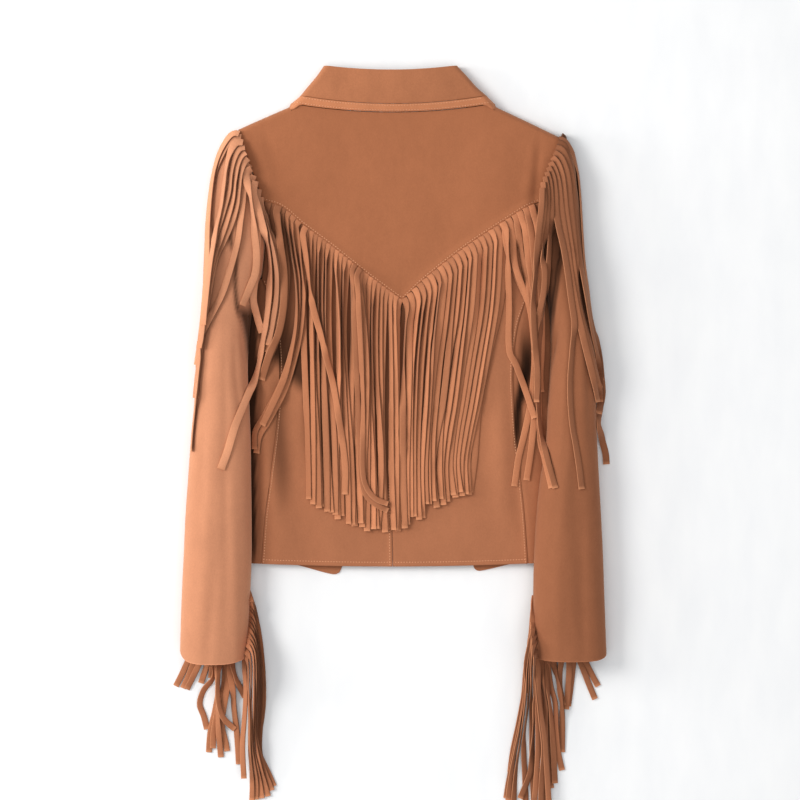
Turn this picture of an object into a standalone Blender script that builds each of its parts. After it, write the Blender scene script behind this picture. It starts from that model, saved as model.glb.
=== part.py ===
"""A fringed suede jacket, laid face down on a flat surface with its collar turned up.

X runs across the jacket, Y from the hem up to the collar, and Z up from the surface.
The origin is under the middle of the whole jacket. Sizes are in millimetres and become
metres as each mesh is made. Every piece is a wall of suede whose outer skin is worked
out from the tables below; the wall is then thickened inwards.
"""
import math
from collections import namedtuple

import bmesh
import bpy
from mathutils import Vector

MM = 0.001
SUEDE = 1.8            # thickness of the cloth wall
SEAM_GAP = 0.3         # air between two pieces that are sewn edge to edge
ROLL_GAP = 1.0         # the same between two edges that both roll inwards
FRINGE = 3.0           # thickness of a layer of fringe
LIE = 1.0              # air under a layer of fringe
WELD = 0.01            # points closer than this are one point

HEM_Y = -148.0         # lower edge of the back
UNDERARM_Y = 190.0     # foot of the armhole
FOLD_RADIUS = 4.5      # outer radius of the side folds
SHOULDER_RADIUS = 7.0  # outer radius of the fold along the shoulder seams
ROUNDING = 46.0        # how far in from a side fold the back has risen to its full height
ARMHOLE_TOP_Y = 281.0  # where the yoke's V seam meets the armholes
YOKE_TIP = (13.0, 164.6)

# Outline of the body and how high the back lies, from the hem up.
Body = namedtuple("Body", "y left right height")
BODY = [
    Body(-160, -192, 194, 10.5),
    Body(-50, -186, 194, 13.0),
    Body(60, -177, 194, 15.0),
    Body(150, -164, 190, 16.5),
    Body(190, -160, 184, 17.0),
    Body(235, -190, 215, 17.5),
    Body(380, -235, 250, 16.0),
    Body(450, -235, 250, 15.0),
]

# Armhole seams, from the underarm up to the shoulder tip.
Armhole = namedtuple("Armhole", "y left right")
ARMHOLE = [
    Armhole(190, -152.0, 172.0),
    Armhole(215, -148.5, 171.0),
    Armhole(245, -146.5, 172.0),
    Armhole(270, -147.5, 175.5),
    Armhole(281, -151.0, 177.0),
    Armhole(303, -157.5, 181.0),
    Armhole(325, -166.0, 187.5),
    Armhole(340, -170.5, 194.0),
    Armhole(356, -178.0, 199.4),
    Armhole(366, -183.0, 201.0),
]

# Side seams, which lie on the back, well inside the side folds.
SideSeam = namedtuple("SideSeam", "y left right")
SIDE_SEAM = [
    SideSeam(-148, -152.5, 161.0),
    SideSeam(-88, -148.0, 157.0),
    SideSeam(-49, -142.6, 153.0),
    SideSeam(18, -134.5, 146.0),
    SideSeam(80, -131.0, 143.0),
    SideSeam(130, -134.0, 148.0),
    SideSeam(165, -143.0, 159.0),
    SideSeam(190, -152.0, 172.0),
]

# The yoke's V seam, and the centre-back seam that drops from its tip.
Seam = namedtuple("Seam", "x y")
V_LEFT = [Seam(-151, 281), Seam(-127, 273), Seam(-103, 253), Seam(-67, 226), Seam(-28, 195), Seam(*YOKE_TIP)]
V_RIGHT = [Seam(*YOKE_TIP), Seam(40, 190), Seam(86, 226), Seam(131, 256), Seam(158, 273), Seam(177, 281)]
Centre = namedtuple("Centre", "y x")
CENTRE_SEAM = [Centre(-148, -1.2), Centre(-73, -2.4), Centre(0, 0.0), Centre(90, 6.0), Centre(164.6, 13.0)]

# Shoulder seams, from the shoulder tips in to the neck.
SHOULDER_LEFT = [Seam(-183, 366), Seam(-150, 380), Seam(-118, 393.5)]
SHOULDER_RIGHT = [Seam(122, 393.5), Seam(160, 376), Seam(201, 357)]

# Levels of the neck band and collar. Middle and side are the Y of a level at the centre back
# and at the side folds, left and right are the folds, left_end and right_end the free ends
# of the part that returns below, and height is how high the level lies.
Level = namedtuple("Level", "middle side left right left_end right_end height")
NECK_SEAM = Level(385.8, 396.0, -118, 122, -57, 97, 17.0)
BAND_TOP = Level(395.4, 405.0, -107, 113, -57, 94, 17.5)
COLLAR_LOW = Level(408.0, 416.0, -98, 104, -54, 84, 18.5)
COLLAR_HIGH = Level(422.0, 429.0, -88, 94, -48, 70, 17.0)
COLLAR_TOP = Level(436.0, 441.7, -79, 84, -40, 56, 15.0)
COLLAR_RADIUS = 6.5    # outer radius of the folds at the sides of the collar
BAND_GAP = 0.5         # air under the lowest edge of the neck band and of the collar
FRONT_NECK_DROP = 16.0  # how much lower the neckline lies at the front edges

# Free edges of the fronts, and how far their rounded lower corners hang below the back.
FRONT_EDGE_LEFT = -57.0
FRONT_EDGE_RIGHT = 97.0
FRONT_HANG = 9.5
CORNER_WIDTH = 24.0
CORNER_FADE = 40.0     # over which the hem climbs back to the level of the back

# Soft folds pressed into the back: where each lies, its length and half width, its depth
# (negative for a trough) and its lean from upright in degrees.
Fold = namedtuple("Fold", "x y length width depth lean")
BACK_FOLDS = [
    Fold(-60, 20, 230, 30, 1.4, -6),
    Fold(70, -10, 250, 34, 1.2, 8),
    Fold(0, 330, 160, 40, -1.2, 84),
    Fold(-96, 300, 120, 26, 1.0, -28),
    Fold(112, 310, 130, 28, 1.1, 30),
    Fold(108, 60, 170, 24, -1.2, 4),
    Fold(-104, -70, 130, 24, -1.0, -3),
]

# The sleeves from the cuff up to the underarm. Inner and outer are the X of the section's two
# sides, height is its crown and seam the height of its inner side, where the sleeve seam runs.
Sleeve = namedtuple("Sleeve", "y inner outer height seam")
SLEEVE_LEFT = [
    Sleeve(-255, -170.5, -247.5, 41, 17),
    Sleeve(-215, -167.0, -246.5, 44, 18),
    Sleeve(-175, -165.0, -245.0, 45, 18),
    Sleeve(-133, -163.5, -243.0, 44, 18),
    Sleeve(-90, -163.5, -241.0, 47, 19),
    Sleeve(-46, -164.0, -238.0, 45, 19),
    Sleeve(-5, -164.5, -235.0, 47, 19),
    Sleeve(40, -166.0, -231.0, 45, 19),
    Sleeve(80, -168.0, -228.5, 44, 18),
    Sleeve(118, -173.5, -225.0, 42, 18),
    Sleeve(152, -181.0, -222.0, 40, 16),
    Sleeve(188, -162.5, -220.5, 38, 5),
]
SLEEVE_RIGHT = [
    Sleeve(-255, 170.0, 253.0, 40, 17),
    Sleeve(-215, 167.5, 251.5, 43, 18),
    Sleeve(-175, 167.0, 250.0, 45, 18),
    Sleeve(-133, 168.0, 248.5, 46, 19),
    Sleeve(-90, 170.5, 246.5, 44, 19),
    Sleeve(-46, 175.0, 244.0, 46, 19),
    Sleeve(-5, 181.5, 242.0, 44, 19),
    Sleeve(40, 184.0, 240.5, 45, 18),
    Sleeve(80, 185.5, 240.0, 44, 18),
    Sleeve(118, 188.5, 238.0, 42, 18),
    Sleeve(152, 195.5, 233.0, 40, 16),
    Sleeve(188, 187.0, 230.0, 38, 5),
]
# The sleeve heads, open along the armholes, from the underarm up to the shoulder tip.
Head = namedtuple("Head", "y left right height")
SLEEVE_HEAD = [
    Head(206, -220.0, 228.0, 36),
    Head(240, -218.5, 226.0, 33),
    Head(281, -213.5, 223.0, 31),
    Head(318, -207.0, 218.5, 27),
    Head(340, -200.5, 211.5, 23),
    Head(352, -195.0, 206.5, 19),
]
HEAD_GAP = 0.9         # air along the armhole seams
CUFF_DROP = 8.0        # how much lower the middle of the cuff's edge hangs than its sides
SLEEVE_CLEAR = 0.9     # air between a sleeve and the body that it lies on

# Reach of the yoke fringe: its lower ends, ragged to a V, and its outer edges.
FRINGE_ENDS_LEFT = [
    Seam(-154, -14), Seam(-138, -40), Seam(-98, -72), Seam(-60, -90), Seam(-20, -105), Seam(6, -106),
]
FRINGE_ENDS_RIGHT = [Seam(7, -106), Seam(30, -88), Seam(55, -72), Seam(94, -64)]
Reach = namedtuple("Reach", "y edge")
YOKE_REACH_LEFT = [Reach(-14, -154), Reach(60, -151), Reach(140, -142), Reach(200, -137), Reach(270, -142)]
YOKE_REACH_RIGHT = [Reach(-64, 94), Reach(0, 106), Reach(94, 117), Reach(165, 130), Reach(270, 168)]

# Reach of the armhole fringe: how far it spreads over the body inside the sleeve.
ARMHOLE_REACH_LEFT = [Reach(-36, -157), Reach(0, -157), Reach(60, -155), Reach(140, -147), Reach(190, -143)]
ARMHOLE_REACH_RIGHT = [Reach(-56, 142), Reach(0, 148), Reach(60, 153), Reach(140, 160), Reach(190, 166)]
ARMHOLE_FRINGE_ENDS = (-36.0, -56.0)   # lowest Y of the left and the right fringe

# Reach of the cuff fringe below the cuffs, where it lies on the surface.
Spread = namedtuple("Spread", "y left right")
CUFF_FRINGE_LEFT = [
    Spread(-422, -152, -139),
    Spread(-408, -163, -138),
    Spread(-390, -186, -143),
    Spread(-368, -214, -149),
    Spread(-338, -224, -149),
    Spread(-310, -242, -147),
    Spread(-290, -253, -147),
    Spread(-274, -222, -149),
]
CUFF_FRINGE_RIGHT = [
    Spread(-442, 137, 182),
    Spread(-424, 135, 189),
    Spread(-402, 137, 197),
    Spread(-368, 144, 204),
    Spread(-322, 153, 212),
    Spread(-306, 154, 240),
    Spread(-288, 156, 248),
    Spread(-274, 157, 216),
]
CUFF_FRINGE_TOP = -176.0    # where it starts, in the sleeve seam above the cuff
CUFF_FRINGE_CREST = 16.0    # its height where it leaves the sleeve seam
CUFF_FRINGE_EDGES = (-151.0, 165.0)  # its outer edges beside the left and the right cuff


def read(rows, at, column):
    """A table's column at any place along its first column, on one smooth curve."""
    keys = [row[0] for row in rows]
    values = [getattr(row, column) for row in rows]
    at = min(max(at, keys[0]), keys[-1])
    last = len(keys) - 1
    k = max(i for i in range(last) if keys[i] <= at)

    def slope(i):
        low, high = max(i - 1, 0), min(i + 1, last)
        return (values[high] - values[low]) / (keys[high] - keys[low])

    span = keys[k + 1] - keys[k]
    t = (at - keys[k]) / span
    start = values[k] * (1 + 2 * t) * (1 - t) ** 2 + slope(k) * span * t * (1 - t) ** 2
    end = values[k + 1] * (3 - 2 * t) * t ** 2 - slope(k + 1) * span * (1 - t) * t ** 2
    return start + end


def mix(a, b, t):
    return a + (b - a) * t


def ease(t):
    """0 to 1 with soft ends."""
    t = min(max(t, 0.0), 1.0)
    return t * t * (3 - 2 * t)


def steps(count, low=0.0, high=1.0):
    return [mix(low, high, i / count) for i in range(count + 1)]


def fold_height(x, y):
    """What the soft folds add to the back at a place."""
    total = 0.0
    for fold in BACK_FOLDS:
        lean = math.radians(fold.lean)
        dx, dy = x - fold.x, y - fold.y
        across = dx * math.cos(lean) - dy * math.sin(lean)
        along = dx * math.sin(lean) + dy * math.cos(lean)
        total += fold.depth * math.exp(-(across / fold.width) ** 2 - (2 * along / fold.length) ** 4)
    return total


def back_height(x, y):
    """Height of the jacket's upper skin: low at the side folds, full in the middle."""
    inside = min(x - read(BODY, y, "left"), read(BODY, y, "right") - x)
    rise = ease(inside / ROUNDING)
    low = 2 * FOLD_RADIUS
    return low + (read(BODY, y, "height") + fold_height(x, y) - low) * rise


def on_back(x, y):
    return (x, y, back_height(x, y))


def v_seam_y(x):
    rows = V_LEFT if x < YOKE_TIP[0] else V_RIGHT
    return read(rows, x, "y")


def level_y(level, x):
    """Y of a collar level above a place: it rises from the centre back to the sides."""
    middle = (level.left + level.right) / 2
    half = (level.right - level.left) / 2
    return level.middle + (level.side - level.middle) * min(abs(x - middle) / half, 1.0) ** 2


def suede(name, colour):
    material = bpy.data.materials.new(name)
    material.use_nodes = True
    shader = material.node_tree.nodes["Principled BSDF"]
    shader.inputs["Base Color"].default_value = (*colour, 1.0)
    shader.inputs["Roughness"].default_value = 0.95
    shader.inputs["Metallic"].default_value = 0.0
    return material


def cloth(name, grid, material, wall=SUEDE, keep=None, flip=False):
    """A wall whose outer skin runs through a grid of points, thickened inwards."""
    mesh = bpy.data.meshes.new(name)
    form = bmesh.new()
    points = [[form.verts.new(Vector(point) * MM) for point in row] for row in grid]
    for i in range(len(grid) - 1):
        for j in range(len(grid[0]) - 1):
            if keep is None or keep(i, j):
                corners = [points[i][j], points[i][j + 1], points[i + 1][j + 1], points[i + 1][j]]
                form.faces.new(corners[::-1] if flip else corners)
    loose = [point for point in form.verts if not point.link_faces]
    bmesh.ops.delete(form, geom=loose, context="VERTS")
    bmesh.ops.remove_doubles(form, verts=form.verts, dist=WELD * MM)
    form.to_mesh(mesh)
    form.free()
    piece = bpy.data.objects.new(name, mesh)
    bpy.context.scene.collection.objects.link(piece)
    piece.data.materials.append(material)
    thicken = piece.modifiers.new("wall", "SOLIDIFY")
    thicken.thickness = wall * MM
    thicken.offset = -1.0
    thicken.use_even_offset = True
    return piece


def slab(name, upper, lower, material, flip=False):
    """A closed layer between an upper and a lower grid of points."""
    mesh = bpy.data.meshes.new(name)
    form = bmesh.new()
    skins = [[[form.verts.new(Vector(p) * MM) for p in row] for row in grid] for grid in (upper, lower)]
    rows, columns = len(upper), len(upper[0])
    faces = []
    for skin, turned in zip(skins, (False, True)):
        for i in range(rows - 1):
            for j in range(columns - 1):
                corners = [skin[i][j], skin[i][j + 1], skin[i + 1][j + 1], skin[i + 1][j]]
                faces.append(corners[::-1] if turned else corners)
    rim = [(0, j) for j in range(columns - 1)] + [(i, columns - 1) for i in range(rows - 1)]
    rim += [(rows - 1, j) for j in range(columns - 1, 0, -1)] + [(i, 0) for i in range(rows - 1, 0, -1)]
    for (i, j), (m, n) in zip(rim, rim[1:] + rim[:1]):
        faces.append([skins[0][m][n], skins[0][i][j], skins[1][i][j], skins[1][m][n]])
    for corners in faces:
        form.faces.new(corners[::-1] if flip else corners)
    form.to_mesh(mesh)
    form.free()
    piece = bpy.data.objects.new(name, mesh)
    bpy.context.scene.collection.objects.link(piece)
    piece.data.materials.append(material)
    return piece


def shoulder_y(x):
    rows = SHOULDER_LEFT if x < YOKE_TIP[0] else SHOULDER_RIGHT
    return read(rows, x, "y")


def yoke_columns():
    """Columns of the yoke: their X at the top edge and on the V seam. The tip keeps its place."""
    tip = YOKE_TIP[0]
    top = steps(3, SHOULDER_LEFT[0].x, SHOULDER_LEFT[-1].x) + [-86, -55, -22, tip]
    top += [44, 74, 100] + steps(3, SHOULDER_RIGHT[0].x, SHOULDER_RIGHT[-1].x)
    foot = []
    for x in top:
        if x < tip:
            foot.append(mix(V_LEFT[0].x, tip, (x - top[0]) / (tip - top[0])))
        else:
            foot.append(mix(tip, V_RIGHT[-1].x, (x - tip) / (top[-1] - tip)))
    return top, foot


def side_rows():
    """Rows along the side seams, shared by the pieces on both sides of them."""
    return steps(7, HEM_Y, UNDERARM_Y)


def roll_over(row, turn, upward):
    """A row of points carried round the fold along a shoulder, by part of a quarter turn."""
    angle = turn * math.pi / 2
    ahead = SHOULDER_RADIUS * math.sin(angle)
    rolled = []
    for x, y, z in row:
        travel = SHOULDER_RADIUS - z - math.copysign(ROLL_GAP / 2, upward)
        rolled.append((x, y + ahead, z + travel * (1 - math.cos(angle))))
    return rolled


def make_back_yoke(material):
    """The yoke: from the V seam up to the neck, rolling over the shoulders to their seams."""
    top, foot = yoke_columns()
    plan_rows, roll_steps = 8, 4
    neck_first = top.index(SHOULDER_LEFT[-1].x)
    neck_last = top.index(SHOULDER_RIGHT[0].x)
    grid = []
    for v in steps(plan_rows):
        row = []
        for j, x_top in enumerate(top):
            if neck_first < j < neck_last:
                y_top = level_y(NECK_SEAM, x_top) - SEAM_GAP
            else:
                y_top = shoulder_y(x_top) - SHOULDER_RADIUS
            x = mix(foot[j], x_top, v)
            y = mix(v_seam_y(foot[j]) + SEAM_GAP, y_top, v)
            if j == 0:
                x = read(ARMHOLE, y, "left")
            if j == len(top) - 1:
                x = read(ARMHOLE, y, "right")
            row.append(on_back(x, y))
        grid.append(row)
    for turn in steps(roll_steps)[1:]:
        grid.append(roll_over(grid[plan_rows], turn, -1))

    def keep(i, j):
        return i < plan_rows or not neck_first <= j < neck_last

    return cloth("back_yoke", grid, material, keep=keep)


def make_lower_back(name, side, material):
    """Half of the lower back: V seam, centre seam, hem, side seam and the foot of the armhole."""
    out = -1 if side == "left" else 1
    tip = YOKE_TIP[0]
    foot = [x for x in yoke_columns()[1] if (tip - x) * -out >= 0]
    foot.sort(key=lambda x: abs(x - tip), reverse=True)
    top_y = ARMHOLE_TOP_Y - SEAM_GAP
    grid = []
    for outer_y in side_rows() + [215, 245, top_y]:
        v = (outer_y - HEM_Y) / (top_y - HEM_Y)
        edge = read(ARMHOLE if outer_y > UNDERARM_Y else SIDE_SEAM, outer_y, side) - out * SEAM_GAP / 2
        row = []
        for x_top in foot:
            u = (x_top - foot[0]) / (tip - foot[0])
            y = mix(HEM_Y, v_seam_y(x_top) - SEAM_GAP, v)
            centre = read(CENTRE_SEAM, y, "x") + out * SEAM_GAP / 2
            row.append(on_back(mix(edge, centre, u), y))
        grid.append(row)
    return cloth(name, grid, material, flip=side == "right")


def make_front(name, side, material):
    """A front: flat on the surface, round the side fold and back over to the side seam."""
    out = -1 if side == "left" else 1
    free_edge = FRONT_EDGE_LEFT if side == "left" else FRONT_EDGE_RIGHT
    tip = SHOULDER_LEFT[0] if side == "left" else SHOULDER_RIGHT[-1]
    neck = SHOULDER_LEFT[-1] if side == "left" else SHOULDER_RIGHT[0]
    neck_steps, shoulder_steps, fold_steps, top_steps, roll_steps = 3, 4, 5, 3, 4
    flat_columns = neck_steps + shoulder_steps
    top_edge = steps(neck_steps, free_edge, neck.x) + steps(shoulder_steps, neck.x, tip.x)[1:]

    def fold_x(y):
        return read(BODY, y, side) - out * FOLD_RADIUS

    def hem_y(x):
        """The hem, with the rounded corner that hangs below the back."""
        inward = (x - free_edge) * out
        corner = math.sqrt(max(1 - (1 - min(inward / CORNER_WIDTH, 1.0)) ** 2, 0.0))
        hang = FRONT_HANG * (1 - ease((inward - CORNER_WIDTH) / CORNER_FADE))
        return HEM_Y - hang * corner

    def top_y(j, x):
        if j < neck_steps:
            toward_edge = (x - neck.x) / (free_edge - neck.x)
            return level_y(NECK_SEAM, x) - SEAM_GAP - FRONT_NECK_DROP * toward_edge
        return shoulder_y(x) - SHOULDER_RADIUS

    low_rows = len(side_rows()) - 1
    rows = side_rows() + [row.y for row in SLEEVE_HEAD if row.y < tip.y - SHOULDER_RADIUS - 4]
    rows.append(tip.y - SHOULDER_RADIUS)
    grid = []
    for i, outer_y in enumerate(rows):
        v = (outer_y - HEM_Y) / (rows[-1] - HEM_Y)
        outer_x = read(ARMHOLE, outer_y, side) if i > low_rows else fold_x(outer_y)
        row = []
        for j, x_top in enumerate(top_edge):
            u = (x_top - free_edge) / (tip.x - free_edge)
            x_hem = mix(free_edge, fold_x(HEM_Y), u)
            row.append((mix(free_edge, outer_x, u), mix(hem_y(x_hem), top_y(j, x_top), v), 0.0))
        for turn in steps(fold_steps)[1:]:
            angle = turn * math.pi
            x = fold_x(outer_y) + out * FOLD_RADIUS * math.sin(angle)
            row.append((x, outer_y, FOLD_RADIUS * (1 - math.cos(angle))))
        side_seam = read(SIDE_SEAM, outer_y, side) + out * SEAM_GAP / 2
        for across in steps(top_steps)[1:]:
            row.append(on_back(mix(fold_x(outer_y), side_seam, across), outer_y))
        grid.append(row)
    last = len(grid) - 1
    for turn in steps(roll_steps)[1:]:
        grid.append(roll_over(grid[last], turn, 1))

    def keep(i, j):
        if i >= last:
            return neck_steps <= j < flat_columns
        return j < flat_columns or i < low_rows

    return cloth(name, grid, material, keep=keep, flip=side == "right")


def level_point(level, x, z, gap):
    return (x, level_y(level, x) + gap, z)


def returned(level, x, fold, end, gap):
    """A point of the part that returns below, dropping towards its free end."""
    drop = FRONT_NECK_DROP * abs((x - fold) / (end - fold))
    return (x, level_y(level, x) + gap - drop, 0.0)


def collar_ring(name, levels, material):
    """A strip that lies over the back of the neck, folds at both sides and returns below."""
    radius = COLLAR_RADIUS
    grid = []
    for k, level in enumerate(levels):
        gap = BAND_GAP if k == 0 else 0.0
        left, right = level.left + radius, level.right - radius
        row = []
        for x in steps(3, level.left_end, left):
            row.append(returned(level, x, level.left, level.left_end, gap))
        for turn in steps(5)[1:-1]:
            angle = turn * math.pi
            z = level.height / 2 * (1 - math.cos(angle))
            row.append(level_point(level, left - radius * math.sin(angle), z, gap))
        row += [level_point(level, x, level.height, gap) for x in steps(12, left, right)]
        for turn in steps(5)[1:-1]:
            angle = turn * math.pi
            z = level.height / 2 * (1 + math.cos(angle))
            row.append(level_point(level, right + radius * math.sin(angle), z, gap))
        for x in steps(3, right, level.right_end):
            row.append(returned(level, x, level.right, level.right_end, gap))
        grid.append(row)
    return cloth(name, grid, material)


def support(x, y, side):
    """Height of what a sleeve lies on: the surface, or the edge of the body."""
    fold = read(BODY, y, side)
    inward = (x - fold) if side == "left" else (fold - x)
    if y > UNDERARM_Y:
        return 0.0
    climb = ease((inward + 15) / 12)
    return climb * (max(back_height(x, y), 2 * FOLD_RADIUS) + SLEEVE_CLEAR)


def sleeve_upper(row, side, turn):
    """A point of the upper half of a sleeve's section, from its inner side over the crown."""
    angle = turn * math.pi
    x = mix(row.inner, row.outer, (1 - math.cos(angle)) / 2)
    outer_z = row.height * 0.42
    start = row.seam if row.seam else back_height(row.inner, row.y)
    base = mix(start, outer_z, (1 - math.cos(angle)) / 2)
    crown = row.height - mix(start, outer_z, 0.5)
    return (x, row.y, base + crown * math.sin(angle) ** 0.85)


def sleeve_lower(row, side, turn):
    """A point of the lower half, from the outer side back under to the inner side."""
    angle = turn * math.pi
    t = (1 - math.cos(angle)) / 2
    x = mix(row.outer, row.inner, t)
    base = mix(row.height * 0.42, row.seam, t)
    if row.seam == 0:
        return (x, row.y, base * (1 - math.sin(angle) ** 0.5) * (1 - t))
    z = base * (1 - math.sin(angle) ** 0.5)
    return (x, row.y, max(z, support(x, row.y, side)) if turn < 1 else z)


def sleeve_rows(side):
    """All sections of a sleeve. Those of its head start at the armhole, with no seam height."""
    out = -1 if side == "left" else 1
    rows = list(SLEEVE_LEFT if side == "left" else SLEEVE_RIGHT)
    for head in SLEEVE_HEAD:
        inner = read(ARMHOLE, head.y, side) + out * HEAD_GAP
        rows.append(Sleeve(head.y, inner, getattr(head, side), head.height, 0))
    return rows


def cuff_drop(row, x):
    """How much lower the cuff's edge hangs at a place across it."""
    across = abs(2 * (x - row.inner) / (row.outer - row.inner) - 1)
    return CUFF_DROP * (1 - across ** 3)


def make_sleeve(name, side, material):
    """A one-piece sleeve: a tube up to the underarm, open to the armhole above it."""
    grid = []
    for row in sleeve_rows(side):
        points = [sleeve_upper(row, side, turn) for turn in steps(12)]
        points += [sleeve_lower(row, side, turn) for turn in steps(12)[1:]]
        if not grid:
            points = [(x, y - cuff_drop(row, x), z) for x, y, z in points]
        grid.append(points)
    return cloth(name, grid, material, flip=side == "left")


def make_yoke_fringe(name, side, material):
    """Reach of the fringe that hangs from the V seam over the lower back."""
    ends = FRINGE_ENDS_LEFT if side == "left" else FRINGE_ENDS_RIGHT
    reach = YOKE_REACH_LEFT if side == "left" else YOKE_REACH_RIGHT
    seam = V_LEFT if side == "left" else V_RIGHT
    lift = LIE + FRINGE
    inner_gap = -0.5 if side == "left" else 0.5
    grid = []
    for v in steps(9):
        row = []
        for u in steps(8):
            if side == "left":
                x_top = mix(seam[0].x + 9, seam[-1].x + inner_gap, u)
                x_end = mix(ends[0].x, ends[-1].x + inner_gap, u)
            else:
                x_top = mix(seam[0].x + inner_gap, seam[-1].x - 9, u)
                x_end = mix(ends[0].x + inner_gap, ends[-1].x, u)
            y = mix(read(ends, x_end, "y"), v_seam_y(x_top) - 2, v)
            outer = read(reach, y, "edge")
            x = mix(x_end, x_top, v)
            x = max(x, outer) if side == "left" else min(x, outer)
            row.append((x, y, back_height(x, y) + lift))
        grid.append(row)
    return cloth(name, grid, material, wall=FRINGE)


def moved_out(row, side, turn, lift):
    """A point of a sleeve's upper half, moved out from its skin."""
    x, y, z = sleeve_upper(row, side, turn)
    before = sleeve_upper(row, side, max(turn - 0.04, 0.0))
    after = sleeve_upper(row, side, min(turn + 0.04, 1.0))
    run = Vector((after[0] - before[0], after[2] - before[2])).normalized()
    tilt = Vector((-run.y, run.x)) if side == "right" else Vector((run.y, -run.x))
    return (x + tilt.x * lift, y, z + tilt.y * lift)


def make_armhole_fringe(name, side, material):
    """Reach of the fringe that hangs from an armhole seam, over the sleeve and down its side."""
    out = -1 if side == "left" else 1
    reach = ARMHOLE_REACH_LEFT if side == "left" else ARMHOLE_REACH_RIGHT
    lowest = ARMHOLE_FRINGE_ENDS[0] if side == "left" else ARMHOLE_FRINGE_ENDS[1]
    rows = sleeve_rows(side)
    above = [row for row in rows if lowest + 12 < row.y < rows[-1].y]
    first = Sleeve(lowest, *[read(rows, lowest, column) for column in Sleeve._fields[1:]])
    skins = []
    for lift in (LIE + FRINGE, LIE):
        grid = []
        for row in [first] + above:
            over = [moved_out(row, side, turn, lift) for turn in steps(12)[2:-1]]
            start_x = read(reach, row.y, "edge") if row.y < UNDERARM_Y else row.inner - out * 1.5
            start = (start_x, row.y, back_height(start_x, row.y) + lift)
            x = mix(start_x, over[0][0], 0.5)
            z = max(back_height(x, row.y) + lift, mix(start[2], over[0][2], 0.5))
            if row.y > UNDERARM_Y:
                x, _, z = moved_out(row, side, 1 / 12, lift)
            grid.append([start, (x, row.y, z)] + over)
        skins.append(grid)
    return slab(name, *skins, material, flip=side == "left")


def make_cuff_fringe(name, side, material):
    """Reach of the fringe sewn into the sleeve seam at the cuff, and lying below it."""
    out = -1 if side == "left" else 1
    spread = CUFF_FRINGE_LEFT if side == "left" else CUFF_FRINGE_RIGHT
    beside = CUFF_FRINGE_EDGES[0] if side == "left" else CUFF_FRINGE_EDGES[1]
    inner, outer = ("right", "left") if side == "left" else ("left", "right")
    rows = sleeve_rows(side)
    cuff_y = rows[0].y
    upper = []
    for y in steps(7, spread[0].y, spread[-1].y):
        edges = [read(spread, y, inner), read(spread, y, outer)]
        upper.append([(mix(edges[0], edges[1], t), y, FRINGE) for t in steps(3)])
    for y in steps(3, cuff_y - 6, CUFF_FRINGE_TOP):
        seam_x = read(rows, y, "inner") - out * LIE
        edge = mix(beside, seam_x - out * 6, max(0.0, (y - cuff_y) / (CUFF_FRINGE_TOP - cuff_y)))
        crest = CUFF_FRINGE_CREST if y > cuff_y else CUFF_FRINGE_CREST * 0.6
        upper.append([(mix(edge, seam_x, t), y, mix(FRINGE, crest, ease(t))) for t in steps(3)])
    lower = [[(x, y, 0.0) for x, y, z in row] for row in upper]
    return slab(name, upper, lower, material, flip=side == "left")


def clear_scene():
    for old in list(bpy.data.objects):
        bpy.data.objects.remove(old, do_unlink=True)


def build_jacket():
    tan = suede("tan suede", (0.45, 0.17, 0.08))
    light = suede("collar suede", (0.50, 0.20, 0.10))
    strips = suede("cut fringe", (0.42, 0.15, 0.07))
    make_back_yoke(tan)
    make_lower_back("back_left", "left", tan)
    make_lower_back("back_right", "right", tan)
    make_front("front_left", "left", tan)
    make_front("front_right", "right", tan)
    collar_ring("neck_band", [NECK_SEAM, BAND_TOP], light)
    collar_ring("collar", [BAND_TOP, COLLAR_LOW, COLLAR_HIGH, COLLAR_TOP], light)
    make_sleeve("sleeve_left", "left", tan)
    make_sleeve("sleeve_right", "right", tan)
    make_yoke_fringe("yoke_fringe_left", "left", strips)
    make_yoke_fringe("yoke_fringe_right", "right", strips)
    make_armhole_fringe("armhole_fringe_left", "left", strips)
    make_armhole_fringe("armhole_fringe_right", "right", strips)
    make_cuff_fringe("cuff_fringe_left", "left", strips)
    make_cuff_fringe("cuff_fringe_right", "right", strips)


clear_scene()
build_jacket()
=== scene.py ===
"""The looks of a fringed suede jacket, laid face down on a flat surface, collar turned up.

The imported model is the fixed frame. Each cut piece of suede is made again on the same form
as a thin, finely shaped sheet, then top-stitched, and the fringe is laid strip by strip.
Tables are in millimetres and become metres as each mesh is made. X runs across the jacket,
Y from the hem up to the collar and Z up from the surface that it lies on.
"""
import math
from collections import namedtuple

import bmesh
import bpy
import numpy as np
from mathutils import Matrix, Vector
from mathutils.bvhtree import BVHTree


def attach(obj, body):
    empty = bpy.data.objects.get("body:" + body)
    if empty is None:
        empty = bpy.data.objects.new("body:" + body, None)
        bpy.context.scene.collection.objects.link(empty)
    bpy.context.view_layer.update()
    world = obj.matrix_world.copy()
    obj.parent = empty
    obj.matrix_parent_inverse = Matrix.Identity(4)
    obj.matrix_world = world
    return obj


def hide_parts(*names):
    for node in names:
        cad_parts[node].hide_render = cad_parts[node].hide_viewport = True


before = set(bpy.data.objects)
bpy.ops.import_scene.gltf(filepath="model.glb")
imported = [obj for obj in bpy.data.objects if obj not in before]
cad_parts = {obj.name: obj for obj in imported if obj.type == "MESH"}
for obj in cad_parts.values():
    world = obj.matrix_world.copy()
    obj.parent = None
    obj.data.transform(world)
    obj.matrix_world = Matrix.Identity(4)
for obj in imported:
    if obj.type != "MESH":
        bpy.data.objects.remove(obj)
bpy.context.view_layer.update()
bpy.ops.object.select_all(action="DESELECT")

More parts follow.
